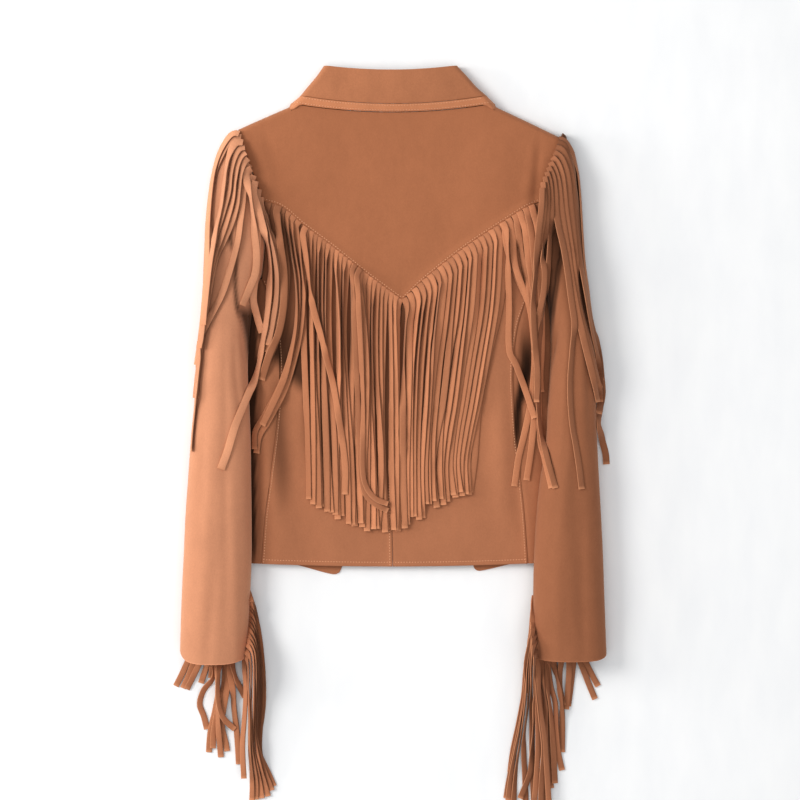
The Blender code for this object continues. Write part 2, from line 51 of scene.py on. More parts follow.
# ---- The surface, the light and the view --------------------------------------------------
# The jacket lies on a white plastered board, lit through a wide window-like light low on
# the left, with soft light from above to fill. It is seen from straight above.
MM = 0.001
MIDDLE = (10.6, 47.8)            # X and Y of the middle of what is seen
VIEW_WIDTH = 944.0
LENS, SENSOR = 120.0, 36.0
FLOOR_DROP = 0.4                 # how far the board's top is below Z 0
KEY_PLACE, KEY_SIZE, KEY_POWER = (-2.2, 0.75, 2.15), 1.2, 46.0
LOW_PLACE, LOW_SIZE, LOW_POWER = (-2.4, 0.35, 0.62), 0.8, 20.0
FILL_PLACE, FILL_SIZE, FILL_POWER = (0.25, -0.1, 2.5), 2.6, 18.0
AIR_LIGHT = 0.46


def placed(name, data):
    piece = bpy.data.objects.new(name, data)
    bpy.context.scene.collection.objects.link(piece)
    return piece


def light(name, place, size, power, colour):
    lamp = bpy.data.lights.new(name, "AREA")
    lamp.shape, lamp.size, lamp.energy, lamp.color = "SQUARE", size, power, colour
    piece = placed(name, lamp)
    piece.location = place
    piece.rotation_euler = (-Vector(place)).to_track_quat("-Z", "Y").to_euler()


def with_inputs(node, values):
    for label, value in values.items():
        node.inputs[label].default_value = value
    return node


def colour_mix(nodes, sides):
    node = nodes.new("ShaderNodeMix")
    node.data_type = "RGBA"
    return with_inputs(node, sides)


def new_material(name, values):
    """A material whose shader has these values, together with its nodes, links and shader."""
    material = bpy.data.materials.new(name)
    material.use_nodes = True
    nodes, links = material.node_tree.nodes, material.node_tree.links
    return material, nodes, links, with_inputs(nodes["Principled BSDF"], values)


def plaster():
    """White plaster with faint trowel strokes."""
    values = {"Roughness": 0.9, "Specular IOR Level": 0.1}
    material, nodes, links, shader = new_material("white plaster", values)
    place = nodes.new("ShaderNodeTexCoord")
    stretch = with_inputs(nodes.new("ShaderNodeMapping"), {"Scale": (1.0, 0.35, 1.0)})
    strokes = with_inputs(nodes.new("ShaderNodeTexNoise"), {"Scale": 34.0, "Detail": 5.0})
    tone = with_inputs(nodes.new("ShaderNodeMapRange"), {"From Min": 0.3, "From Max": 0.7})
    colour = colour_mix(nodes, {"A": (0.845, 0.85, 0.86, 1.0), "B": (0.88, 0.882, 0.885, 1.0)})
    bump = with_inputs(nodes.new("ShaderNodeBump"), {"Strength": 0.25, "Distance": 0.0006})
    links.new(place.outputs["Object"], stretch.inputs["Vector"])
    links.new(stretch.outputs["Vector"], strokes.inputs["Vector"])
    links.new(strokes.outputs["Fac"], tone.inputs["Value"])
    links.new(tone.outputs["Result"], colour.inputs["Factor"])
    links.new(colour.outputs["Result"], shader.inputs["Base Color"])
    links.new(strokes.outputs["Fac"], bump.inputs["Height"])
    links.new(bump.outputs["Normal"], shader.inputs["Normal"])
    return material


bpy.ops.mesh.primitive_plane_add(size=6.0, location=(0.0, 0.0, -FLOOR_DROP * MM))
board = bpy.context.active_object
board.name = "board"
board.data.materials.append(plaster())
board.select_set(False)

light("window", KEY_PLACE, KEY_SIZE, KEY_POWER, (1.0, 0.985, 0.96))
light("low window", LOW_PLACE, LOW_SIZE, LOW_POWER, (1.0, 0.98, 0.95))
light("overhead", FILL_PLACE, FILL_SIZE, FILL_POWER, (1.0, 1.0, 1.0))
air = bpy.data.worlds.new("air")
air.use_nodes = True
with_inputs(air.node_tree.nodes["Background"], {"Color": (0.97, 0.985, 1.0, 1.0), "Strength": AIR_LIGHT})
bpy.context.scene.world = air
bpy.context.scene.view_settings.view_transform = "Standard"
bpy.context.scene.view_settings.look = "Medium High Contrast"

lens = bpy.data.cameras.new("camera")
lens.lens, lens.sensor_width = LENS, SENSOR
camera = placed("camera", lens)
camera.location = (MIDDLE[0] * MM, MIDDLE[1] * MM, VIEW_WIDTH * MM * LENS / SENSOR)
bpy.context.scene.camera = camera

# ---- The back yoke ------------------------------------------------------------------------
# One pointed piece of suede over both shoulders. It laps over the lower back and the top of
# the fringe along its V, with the edge turned under, and rolls over the shoulders to the seams.
CLOTH = 1.2              # thickness of the suede
SEAM_GAP = 0.3
SIDE_RADIUS = 4.5        # outer radius of the side folds
SHOULDER_RADIUS = 7.0
ROLL_GAP = 1.0
ROUNDING = 46.0          # how far in from a side fold the back has its full height
LAP, LAP_WIDTH = 1.7, 13.0                 # how proud the yoke's turned edge stands
EDGE_DROP, EDGE_WIDTH = 0.7, 0.5           # it rounds down at the very edge
GROOVE_DEPTH, GROOVE_AT, GROOVE_WIDTH = 0.35, 2.6, 0.6    # and sinks where it is stitched


def table(kind, *rows):
    return [kind(*row) for row in rows]


Body = namedtuple("Body", "y left right height")
BODY = table(Body,
    (-160, -192, 194, 10.5), (-50, -186, 194, 13.0), (60, -177, 194, 15.0), (150, -164, 190, 16.5),
    (190, -160, 184, 17.0), (235, -190, 215, 17.5), (380, -235, 250, 16.0), (450, -235, 250, 15.0),
)
Armhole = namedtuple("Armhole", "y left right")
ARMHOLE = table(Armhole,
    (190, -152.0, 172.0), (215, -148.5, 171.0), (245, -146.5, 172.0), (270, -147.5, 175.5),
    (281, -151.0, 177.0), (303, -157.5, 181.0), (325, -166.0, 187.5), (340, -170.5, 194.0),
    (356, -178.0, 199.4), (366, -183.0, 201.0),
)
Seam = namedtuple("Seam", "x y")
YOKE_TIP = (13.0, 164.6)
V_LEFT = table(Seam, (-151, 281), (-127, 273), (-103, 253), (-67, 226), (-28, 195), YOKE_TIP)
V_RIGHT = table(Seam, YOKE_TIP, (40, 190), (86, 226), (131, 256), (158, 273), (177, 281))
SHOULDER_LEFT = table(Seam, (-183, 366), (-150, 380), (-118, 393.5))
SHOULDER_RIGHT = table(Seam, (122, 393.5), (160, 376), (201, 357))
Level = namedtuple("Level", "middle side left right left_end right_end height")
NECK_SEAM = Level(385.8, 396.0, -118, 122, -57, 97, 17.0)

# The long soft folds that the whole back lies in, and the smaller creases on each piece:
# place, length, half width, depth (a trough is negative) and lean from upright in degrees.
Fold = namedtuple("Fold", "x y length width depth lean")
BACK_FOLDS = table(Fold,
    (-60, 20, 230, 30, 1.4, -6), (70, -10, 250, 34, 1.2, 8), (0, 330, 160, 40, -1.2, 84),
    (-96, 300, 120, 26, 1.0, -28), (112, 310, 130, 28, 1.1, 30), (108, 60, 170, 24, -1.2, 4),
    (-104, -70, 130, 24, -1.0, -3),
)
YOKE_CREASES = table(Fold,
    (171, 312, 74, 4.5, -1.5, 4), (162, 306, 96, 7, 0.8, 8), (-137, 318, 90, 8, -0.9, -14),
    (-148, 330, 70, 6, 0.7, -20), (96, 352, 90, 10, -0.5, 62), (-92, 356, 80, 11, 0.5, -58),
    (40, 300, 150, 26, 0.5, 12), (-30, 262, 140, 22, -0.4, -18), (72, 262, 110, 16, -0.4, 36),
    (-70, 300, 110, 18, -0.5, 20), (4, 372, 120, 9, 0.5, 88),
)


def smoothly(a, b, slope_a, slope_b, t):
    """Part of the way from a to b, on the smooth curve with these slopes at its ends."""
    return (a * (1 + 2 * t) * (1 - t) ** 2 + slope_a * t * (1 - t) ** 2
            + b * (3 - 2 * t) * t ** 2 - slope_b * (1 - t) * t ** 2)


def along(rows, at, column):
    """A table's column at any places along its first column, on one smooth curve."""
    keys = np.array([row[0] for row in rows], float)
    values = np.array([getattr(row, column) for row in rows], float)
    last = len(keys) - 1
    low, high = np.maximum(np.arange(last + 1) - 1, 0), np.minimum(np.arange(last + 1) + 1, last)
    slopes = (values[high] - values[low]) / (keys[high] - keys[low])
    at = np.clip(at, keys[0], keys[-1])
    k = np.clip(np.searchsorted(keys, at, side="right") - 1, 0, last - 1)
    span = keys[k + 1] - keys[k]
    return smoothly(values[k], values[k + 1], slopes[k] * span, slopes[k + 1] * span, (at - keys[k]) / span)


def mix(a, b, t):
    return a + (b - a) * t


def ease(t):
    t = np.clip(t, 0.0, 1.0)
    return t * t * (3 - 2 * t)


def folds_height(folds, x, y):
    total = np.zeros(np.broadcast(x, y).shape)
    for fold in folds:
        lean = math.radians(fold.lean)
        across = (x - fold.x) * math.cos(lean) - (y - fold.y) * math.sin(lean)
        down = (x - fold.x) * math.sin(lean) + (y - fold.y) * math.cos(lean)
        total += fold.depth * np.exp(-(across / fold.width) ** 2 - (2 * down / fold.length) ** 4)
    return total


def back_height(x, y, creases=()):
    """Height of the jacket's upper skin: low at the side folds, full in the middle."""
    inside = np.minimum(x - along(BODY, y, "left"), along(BODY, y, "right") - x)
    low = 2 * SIDE_RADIUS
    full = along(BODY, y, "height") + folds_height(BACK_FOLDS, x, y) + folds_height(creases, x, y)
    return low + (full - low) * ease(inside / ROUNDING)


def v_seam_y(x):
    return np.where(x < YOKE_TIP[0], along(V_LEFT, x, "y"), along(V_RIGHT, x, "y"))


def shoulder_y(x):
    return np.where(x < YOKE_TIP[0], along(SHOULDER_LEFT, x, "y"), along(SHOULDER_RIGHT, x, "y"))


def level_y(level, x):
    """Y of a collar level: it rises from the centre back to the sides."""
    middle, half = (level.left + level.right) / 2, (level.right - level.left) / 2
    return level.middle + (level.side - level.middle) * np.minimum(np.abs(x - middle) / half, 1.0) ** 2


def roll_over(row, turn, upward):
    """A row of points carried round the fold along a shoulder, by part of a quarter turn."""
    angle = turn * math.pi / 2
    rolled = row.copy()
    travel = SHOULDER_RADIUS - row[:, 2] - math.copysign(ROLL_GAP / 2, upward)
    rolled[:, 1] += SHOULDER_RADIUS * math.sin(angle)
    rolled[:, 2] += travel * (1 - math.cos(angle))
    return rolled


def stands_for(piece, node):
    """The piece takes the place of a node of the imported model."""
    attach(piece, "root")
    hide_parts(node)
    return piece


def finished(piece, degrees):
    """Apply its modifiers and shade it smooth, but crisp where faces meet at more than this."""
    bpy.context.view_layer.objects.active = piece
    piece.select_set(True)
    for modifier in piece.modifiers[:]:
        bpy.ops.object.modifier_apply(modifier=modifier.name)
    bpy.ops.object.shade_smooth_by_angle(angle=math.radians(degrees))
    piece.select_set(False)
    return piece


skins = []      # outer skins of the pieces laid so far: what stitches and fringe lie on


def suede_sheet(name, grid, material, keep=None, flip=False, tone=None):
    """A thin sheet of suede: its outer skin runs through a grid of points. Faces that aren't kept are left
    out, and tone paints shade and light into the suede from point to point."""
    rows, columns = grid.shape[:2]
    number = np.arange(rows * columns).reshape(rows, columns)
    corners = [number[:-1, :-1], number[:-1, 1:], number[1:, 1:], number[1:, :-1]]
    faces = np.stack(corners[::-1] if flip else corners, -1).reshape(-1, 4)
    if keep is not None:
        faces = faces[keep.ravel()]
    mesh = bpy.data.meshes.new(name)
    mesh.from_pydata((grid.reshape(-1, 3) * MM).tolist(), [], faces.tolist())
    shade = np.ones(rows * columns) if tone is None else tone.ravel()
    mesh.attributes.new("tone", "FLOAT", "POINT").data.foreach_set("value", shade)
    form = bmesh.new()
    form.from_mesh(mesh)
    bmesh.ops.delete(form, geom=[v for v in form.verts if not v.link_faces], context="VERTS")
    bmesh.ops.remove_doubles(form, verts=form.verts, dist=0.02 * MM)
    skins.append(([v.co.copy() for v in form.verts], [[v.index for v in f.verts] for f in form.faces]))
    form.to_mesh(mesh)
    form.free()
    piece = placed(name, mesh)
    mesh.materials.append(material)
    thicken = piece.modifiers.new("wall", "SOLIDIFY")
    thicken.thickness, thicken.offset = CLOTH * MM, -1.0
    return finished(piece, 50)


def suede_nap_group():
    """Brushed suede, shared by every piece: cloudy patches, brush strokes and a fine nap."""
    group = bpy.data.node_groups.new("suede nap", "ShaderNodeTree")
    for in_out, label, kind in (("INPUT", "Place", "Vector"), ("INPUT", "Colour", "Color"),
                                ("INPUT", "Patches", "Float"), ("INPUT", "Strokes", "Float"),
                                ("INPUT", "Nap", "Float"), ("OUTPUT", "Colour", "Color"),
                                ("OUTPUT", "Roughness", "Float"), ("OUTPUT", "Height", "Float")):
        group.interface.new_socket(label, in_out=in_out, socket_type="NodeSocket" + kind)
    nodes, links = group.nodes, group.links
    given, made = nodes.new("NodeGroupInput"), nodes.new("NodeGroupOutput")

    def noise(scale, stretch, rough):
        mapping = with_inputs(nodes.new("ShaderNodeMapping"), {"Scale": stretch})
        texture = with_inputs(nodes.new("ShaderNodeTexNoise"),
                              {"Scale": scale, "Detail": 3.0, "Roughness": rough})
        links.new(given.outputs["Place"], mapping.inputs["Vector"])
        links.new(mapping.outputs["Vector"], texture.inputs["Vector"])
        return texture.outputs["Fac"]

    def maths(kind, a, b):
        node = nodes.new("ShaderNodeMath")
        node.operation = kind
        for socket, value in zip(node.inputs, (a, b)):
            if isinstance(value, (int, float)):
                socket.default_value = value
            else:
                links.new(value, socket)
        return node.outputs[0]

    patches = noise(16.0, (1.0, 0.7, 1.0), 0.55)
    strokes = noise(120.0, (1.0, 0.45, 1.0), 0.55)
    nap = noise(620.0, (1.0, 0.7, 1.0), 0.7)
    total = 1.0
    for value, amount in ((patches, "Patches"), (strokes, "Strokes"), (nap, "Nap")):
        centred = maths("MULTIPLY", maths("SUBTRACT", value, 0.5), 4.0)
        total = maths("ADD", total, maths("MULTIPLY", centred, given.outputs[amount]))
    shade = nodes.new("ShaderNodeVectorMath")
    shade.operation = "SCALE"
    links.new(given.outputs["Colour"], shade.inputs[0])
    links.new(total, shade.inputs["Scale"])
    links.new(shade.outputs["Vector"], made.inputs["Colour"])
    rough = maths("ADD", 0.86, maths("MULTIPLY", nap, 0.12))
    links.new(rough, made.inputs["Roughness"])
    links.new(maths("ADD", maths("MULTIPLY", strokes, 0.6), nap), made.inputs["Height"])
    return group


suede_nap = suede_nap_group()


def suede(name, colour, patches=0.05, nap=0.06, sheen=0.3):
    material, nodes, links, shader = new_material(name, {
        "Specular IOR Level": 0.12, "Sheen Weight": sheen, "Sheen Roughness": 0.5,
        "Sheen Tint": (1.0, 0.72, 0.55, 1.0)})
    place = nodes.new("ShaderNodeTexCoord")
    brushed = nodes.new("ShaderNodeGroup")
    brushed.node_tree = suede_nap
    with_inputs(brushed, {"Colour": (*colour, 1.0), "Patches": patches, "Strokes": 0.03, "Nap": nap})
    bump = with_inputs(nodes.new("ShaderNodeBump"), {"Strength": 0.35, "Distance": 0.00035})
    # The tone attribute scales the colour: painted shade and light, and each strip's own shade.
    tone, shade = nodes.new("ShaderNodeAttribute"), nodes.new("ShaderNodeVectorMath")
    tone.attribute_name, shade.operation = "tone", "SCALE"
    links.new(place.outputs["Object"], brushed.inputs["Place"])
    links.new(brushed.outputs["Colour"], shade.inputs[0])
    links.new(tone.outputs["Fac"], shade.inputs["Scale"])
    links.new(shade.outputs["Vector"], shader.inputs["Base Color"])
    links.new(brushed.outputs["Roughness"], shader.inputs["Roughness"])
    links.new(brushed.outputs["Height"], bump.inputs["Height"])
    links.new(bump.outputs["Normal"], shader.inputs["Normal"])
    return material


tan_suede = suede("tan suede", (0.375, 0.151, 0.075))

top = np.concatenate([np.linspace(-183, -118, 25), np.linspace(-118, 13, 41)[1:],
                      np.linspace(13, 122, 35)[1:], np.linspace(122, 201, 29)[1:]])
neck_first, neck_last = 24, 24 + 40 + 34      # columns between which the top is the neck seam
tip_x = YOKE_TIP[0]
foot = np.where(top < tip_x, mix(V_LEFT[0].x, tip_x, (top - top[0]) / (tip_x - top[0])),
                mix(tip_x, V_RIGHT[-1].x, (top - tip_x) / (top[-1] - tip_x)))
at_neck = (np.arange(len(top)) > neck_first) & (np.arange(len(top)) < neck_last)
top_y = np.where(at_neck, level_y(NECK_SEAM, top) - SEAM_GAP, shoulder_y(top) - SHOULDER_RADIUS)
foot_y = v_seam_y(foot) + SEAM_GAP
edge_steps = np.array([0.0, 0.4, 0.9, 1.5, 2.1, 2.7, 3.4, 4.6, 6.5, 9.0, 12.0])
u = np.arange(len(top)) / (len(top) - 1)
yoke = []
for step in list(edge_steps) + list(np.linspace(0, 1, 46)[1:]):
    if len(yoke) < len(edge_steps):
        y = foot_y + step
    else:
        y = mix(foot_y + edge_steps[-1], top_y, step)
    v = (y - foot_y) / (top_y - foot_y)
    x = mix(foot, top, v)
    x = x + (along(ARMHOLE, y[0], "left") - x[0]) * (1 - u) ** 6
    x = x + (along(ARMHOLE, y[-1], "right") - x[-1]) * u ** 6
    d = y - foot_y
    lap = LAP * (1 - ease(d / LAP_WIDTH)) - EDGE_DROP * np.exp(-(d / EDGE_WIDTH) ** 2)
    lap -= GROOVE_DEPTH * np.exp(-((d - GROOVE_AT) / GROOVE_WIDTH) ** 2)
    yoke.append(np.stack([x, y, back_height(x, y, YOKE_CREASES) + lap], -1))
plan_rows = len(yoke)
for turn in np.linspace(0, 1, 9)[1:]:
    yoke.append(roll_over(yoke[plan_rows - 1], turn, -1))
keep = np.ones((len(yoke) - 1, len(top) - 1), bool)
keep[plan_rows - 1:, neck_first:neck_last] = False
yoke_suede = suede_sheet("yoke_suede", np.array(yoke), tan_suede, keep)
stands_for(yoke_suede, "back_yoke")

# ---- The lower back -----------------------------------------------------------------------
# Two halves joined by the centre-back seam. The seam's turnings are pressed to the left, so
# the left half stands a little proud along it. The hem is turned up once.
HEM_Y, UNDERARM_Y, ARMHOLE_TOP_Y = -148.0, 190.0, 281.0
SEAM_PROUD, SIDE_PROUD, HEM_PROUD, PROUD_WIDTH = 0.9, 0.6, 0.7, 7.0
SEWN_DROP, SEWN_WIDTH = 0.55, 0.7
HALF_WIDTH = 160.0               # about how wide each half is

SideSeam = namedtuple("SideSeam", "y left right")
SIDE_SEAM = table(SideSeam,
    (-148, -152.5, 161.0), (-88, -148.0, 157.0), (-49, -142.6, 153.0), (18, -134.5, 146.0),
    (80, -131.0, 143.0), (130, -134.0, 148.0), (165, -143.0, 159.0), (190, -152.0, 172.0),
)
Centre = namedtuple("Centre", "y x")
CENTRE_SEAM = table(Centre, (-148, 1.9), (-73, 0.8), (0, 2.0), (90, 6.5), (164.6, 13.0))
LOWER_CREASES = table(Fold,
    (-118, 24, 220, 15, -5.2, -4), (-141, 6, 220, 7, 2.2, -4), (-104, -92, 110, 15, -1.6, -26),
    (-70, -104, 90, 18, 1.3, -18), (-40, -122, 60, 14, -0.5, 30), (129, 20, 210, 14, 2.6, -3),
    (112, -20, 160, 15, -1.1, 6), (146, -30, 150, 8, -1.0, -4), (88, -112, 90, 18, 0.8, 28),
    (40, -118, 70, 16, -0.5, -20), (124, -112, 70, 12, -0.7, -14), (-128, -120, 60, 9, 0.6, 8),
    (-96, 120, 120, 12, -0.9, 4), (100, 130, 110, 12, 0.8, -6),
)


def sewn_edge(d, proud=0.0):
    """How a sheet's height changes near a sewn or turned edge: it stands proud, then drops."""
    return proud * (1 - ease(d / PROUD_WIDTH)) - SEWN_DROP * np.exp(-(d / SEWN_WIDTH) ** 2)


lower_suede = suede("lower back suede", (0.395, 0.167, 0.088))


def shaded(x, y):
    """The suede is darker with painted shade: a painted shadow where it lies pressed along the left sleeve,
    painted shade in the deep fold beside it, beside the fringe and in the gap by the right sleeve, and
    under the fringe, where it is always in shade. A faint painted highlight lies on the right of the back."""
    # Painted shadow of the left sleeve on the suede beside it.
    from_sleeve = x + 163.0 - ease((y + 60) / 200) * 1.5
    pressed = (0.86 - 0.6 * ease((from_sleeve - 2.5) / 3)) * (1 - ease((from_sleeve - 5) / 14))
    pressed = pressed * ease((196.0 - y) / 20) * ease((y + 175) / 60)
    # Painted shade in the fold and beside the fringe, and near-black painted shade in the gap by the right
    # sleeve.
    fold_shade = 0.42 * np.exp(-((x + 131 + (y - 10) * 0.06) / 9) ** 2 - ((y - 5) / 72) ** 4)
    fringe_shadow_left = 0.36 * np.exp(-((x + 98) / 7) ** 2 - ((y - 40) / 52) ** 4)
    higher = ease((y - 30) / 60)
    gap_shade_right = 0.94 * np.exp(-((x - 149 - 11 * higher) / (5 + 3.5 * higher)) ** 4
                                 - ((y - 56) / 66) ** 6)
    # A faint painted highlight on the ridge at the right of the back.
    pale = 0.09 * np.exp(-((x - 117) / 12) ** 2 - ((y - 5) / 60) ** 2)
    # Painted shade under the fringe, fading out where its strips end.
    ends = np.interp(x, [-165, -125, -104, -96, -50, 0, 10, 60, 96, 106],
                     [110, 60, 40, -30, -66, -88, -88, -48, -36, 300])
    fringed = (0.55 + 0.25 * ease((-84 - x) / 14)) * ease((y - ends - 6) / 26) * ease((v_seam_y(x) - y) / 3)
    fringed = fringed * (1.0 - 0.42 * ease((y - 100) / 60) * ease((12 - x) / 12))
    darkest = np.max([pressed, fold_shade, fringe_shadow_left, gap_shade_right, fringed], axis=0)
    return (1.0 - darkest) * (1.0 + pale)


def hem_rise(x):
    """The hem's line curves up a little towards both sides."""
    return 3.7 * (x / 165.0) ** 2


def with_hem_curved(grid):
    low = 1.0 - ease((grid[..., 1] - HEM_Y) / 80.0)
    return np.stack([grid[..., 0], grid[..., 1] + hem_rise(grid[..., 0]) * low, grid[..., 2]], -1)


def lower_back(name, side, node):
    out = -1 if side == "left" else 1
    outer = foot[foot <= tip_x] if side == "left" else foot[foot >= tip_x][::-1]
    near = np.array([0.0, 0.8, 1.8, 3.2, 5.0, 7.0])
    share = (outer - outer[0]) / (tip_x - outer[0])
    inside = share[(share > 0.055) & (share < 0.945)][::2]
    close = np.concatenate([near / HALF_WIDTH, inside, 1 - near[::-1] / HALF_WIDTH])
    x_top = mix(outer[0], tip_x, close)
    rise = ARMHOLE_TOP_Y - SEAM_GAP - HEM_Y
    heights = np.concatenate([[0, 0.6, 1.4, 2.6, 4.5, 7.0], np.linspace(10, rise, 125)])
    grid = []
    for h in heights:
        v = h / heights[-1]
        edge_y = HEM_Y + h
        rows = ARMHOLE if edge_y > UNDERARM_Y else SIDE_SEAM
        edge = along(rows, edge_y, side) - out * SEAM_GAP / 2
        y = mix(HEM_Y, v_seam_y(x_top) - SEAM_GAP, v)
        centre = along(CENTRE_SEAM, y, "x") + out * SEAM_GAP / 2
        x = mix(edge, centre, close)
        z = back_height(x, y, LOWER_CREASES)
        z += sewn_edge(np.abs(x - centre), SEAM_PROUD if side == "left" else 0.0)
        z += sewn_edge(np.abs(x - edge), SIDE_PROUD if edge_y <= UNDERARM_Y else 0.0)
        if v < 0.3:
            z += sewn_edge(y - HEM_Y, HEM_PROUD)
        grid.append(np.stack([x, y, z], -1))
    grid = with_hem_curved(np.array(grid))
    return stands_for(suede_sheet(name, grid, lower_suede, flip=side == "right",
                                  tone=shaded(grid[..., 0], grid[..., 1])), node)


back_half_left = lower_back("back_half_left", "left", "back_left")
back_half_right = lower_back("back_half_right", "right", "back_right")

# ---- The fronts ---------------------------------------------------------------------------
# Each front lies flat on the board under the back, wraps round the side fold and comes over
# to the side seam. Its rounded lower corner hangs below the back's hem, wrong side up.
FRONT_EDGE = {"left": -57.0, "right": 97.0}
FRONT_HANG = {"left": 10.5, "right": 7.2}
CORNER_WIDTH = {"left": 11.0, "right": 7.5}
CORNER_FADE = {"left": 46.0, "right": 40.0}
FRONT_NECK_DROP = 16.0
FRONT_CREASES = table(Fold,
    (-148, -10, 210, 7, 2.4, -3), (-160, 90, 120, 6, -0.6, -4), (174, -40, 140, 7, 0.7, -3),
    (157, 60, 130, 10, -4.0, 2), (170, 80, 110, 6, -0.6, 4), (-150, 150, 60, 6, 0.6, 30),
    (166, 150, 60, 6, 0.6, -30),
)


def front(name, side, node):
    out = -1 if side == "left" else 1
    free = FRONT_EDGE[side]
    tip = SHOULDER_LEFT[0] if side == "left" else SHOULDER_RIGHT[-1]
    neck = SHOULDER_LEFT[-1] if side == "left" else SHOULDER_RIGHT[0]
    neck_steps, shoulder_steps, fold_steps, top_steps, low_rows = 16, 14, 14, 12, 84
    top_edge = np.concatenate([np.linspace(free, neck.x, neck_steps + 1),
                               np.linspace(neck.x, tip.x, shoulder_steps + 1)[1:]])
    u = (top_edge - free) / (tip.x - free)
    last_y = tip.y - SHOULDER_RADIUS
    ys = np.concatenate([np.linspace(HEM_Y, UNDERARM_Y, low_rows + 1),
                         np.linspace(UNDERARM_Y, last_y, 34)[1:]])
    hem_fold = float(along(BODY, HEM_Y, side)) - out * SIDE_RADIUS
    x_hem = mix(free, hem_fold, u)
    inward = (x_hem - free) * out
    corner = np.sqrt(np.maximum(1 - (1 - np.minimum(inward / CORNER_WIDTH[side], 1.0)) ** 2, 0.0))
    faded = np.clip((inward - CORNER_WIDTH[side]) / CORNER_FADE[side], 0, 1)
    hem = HEM_Y - FRONT_HANG[side] * (1 - 0.7 * faded - 0.3 * ease(faded)) * corner
    toward = (top_edge - neck.x) / (free - neck.x)
    neck_y = level_y(NECK_SEAM, top_edge) - SEAM_GAP - FRONT_NECK_DROP * toward
    high = np.where(np.arange(len(top_edge)) < neck_steps, neck_y, shoulder_y(top_edge) - SHOULDER_RADIUS)
    grid = []
    for i, outer_y in enumerate(ys):
        v = (outer_y - HEM_Y) / (last_y - HEM_Y)
        fold_x = float(along(BODY, outer_y, side)) - out * SIDE_RADIUS
        outer_x = float(along(ARMHOLE, outer_y, side)) if i > low_rows else fold_x
        flat = np.stack([mix(free, outer_x, u), mix(hem, high, v), np.zeros(len(u))], -1)
        turn = np.linspace(0, math.pi, fold_steps + 1)[1:]
        fold = np.stack([fold_x + out * SIDE_RADIUS * np.sin(turn), np.full(fold_steps, outer_y),
                         SIDE_RADIUS * (1 - np.cos(turn))], -1)
        side_x = float(along(SIDE_SEAM, outer_y, side)) + out * SEAM_GAP / 2
        x = mix(fold_x, side_x, np.linspace(0, 1, top_steps + 1)[1:])
        z = back_height(x, outer_y, FRONT_CREASES) + sewn_edge(np.abs(x - side_x))
        over = np.stack([x, np.full(top_steps, outer_y), z], -1)
        grid.append(np.concatenate([flat, fold, over]))
    last = len(grid) - 1
    for turn in np.linspace(0, 1, 9)[1:]:
        grid.append(roll_over(grid[last], turn, 1))
    keep = np.ones((len(grid) - 1, grid[0].shape[0] - 1), bool)
    keep[low_rows:, neck_steps + shoulder_steps:] = False
    keep[last:, :neck_steps] = False
    grid = with_hem_curved(np.array(grid))
    return stands_for(suede_sheet(name, grid, lower_suede, keep, flip=side == "right",
                                  tone=shaded(grid[..., 0], grid[..., 1])), node)


front_panel_left = front("front_panel_left", "left", "front_left")
front_panel_right = front("front_panel_right", "right", "front_right")

# ---- The neck band and the collar ---------------------------------------------------------
# A narrow band sewn over the neck edge with two rows of stitching, and a one-piece collar
# turned up from it. Both lie over the back of the neck, fold at the sides and return below.
BAND_TOP = Level(395.4, 405.0, -107, 113, -57, 94, 17.5)
COLLAR_LOW = Level(408.0, 416.0, -98, 100.5, -54, 84, 18.5)
COLLAR_HIGH = Level(422.0, 428.0, -88, 90, -48, 68, 17.0)
COLLAR_TOP = Level(436.0, 441.0, -79, 78, -40, 54, 15.0)
COLLAR_RADIUS, BAND_GAP = 6.5, 0.5
COLLAR_CREASES = table(Fold,
    (-52, 424, 30, 12, -0.8, 24), (-18, 420, 34, 10, 0.7, -12), (24, 426, 30, 9, -0.7, 10),
    (60, 418, 36, 14, 0.6, -20), (2, 433, 120, 4, -0.5, 88), (-70, 416, 26, 8, 0.6, 30),
)
collar_suede = suede("collar suede", (0.41, 0.172, 0.088), patches=0.07, nap=0.08)


def between(levels, t):
    """A level part of the way up a list of levels, on one smooth curve."""
    Row = namedtuple("Row", ("at",) + Level._fields)
    rows = [Row(at, *level) for at, level in zip(np.linspace(0, 1, len(levels)), levels)]
    return Level(*[float(along(rows, t, column)) for column in Level._fields])


def collar_tone(x):
    """Palest where the collar faces the light; one soft shadow runs up it."""
    return mix(1.1, 0.94, ease((x + 80) / 150)) - 0.07 * np.exp(-((x + 24) / 7) ** 2)


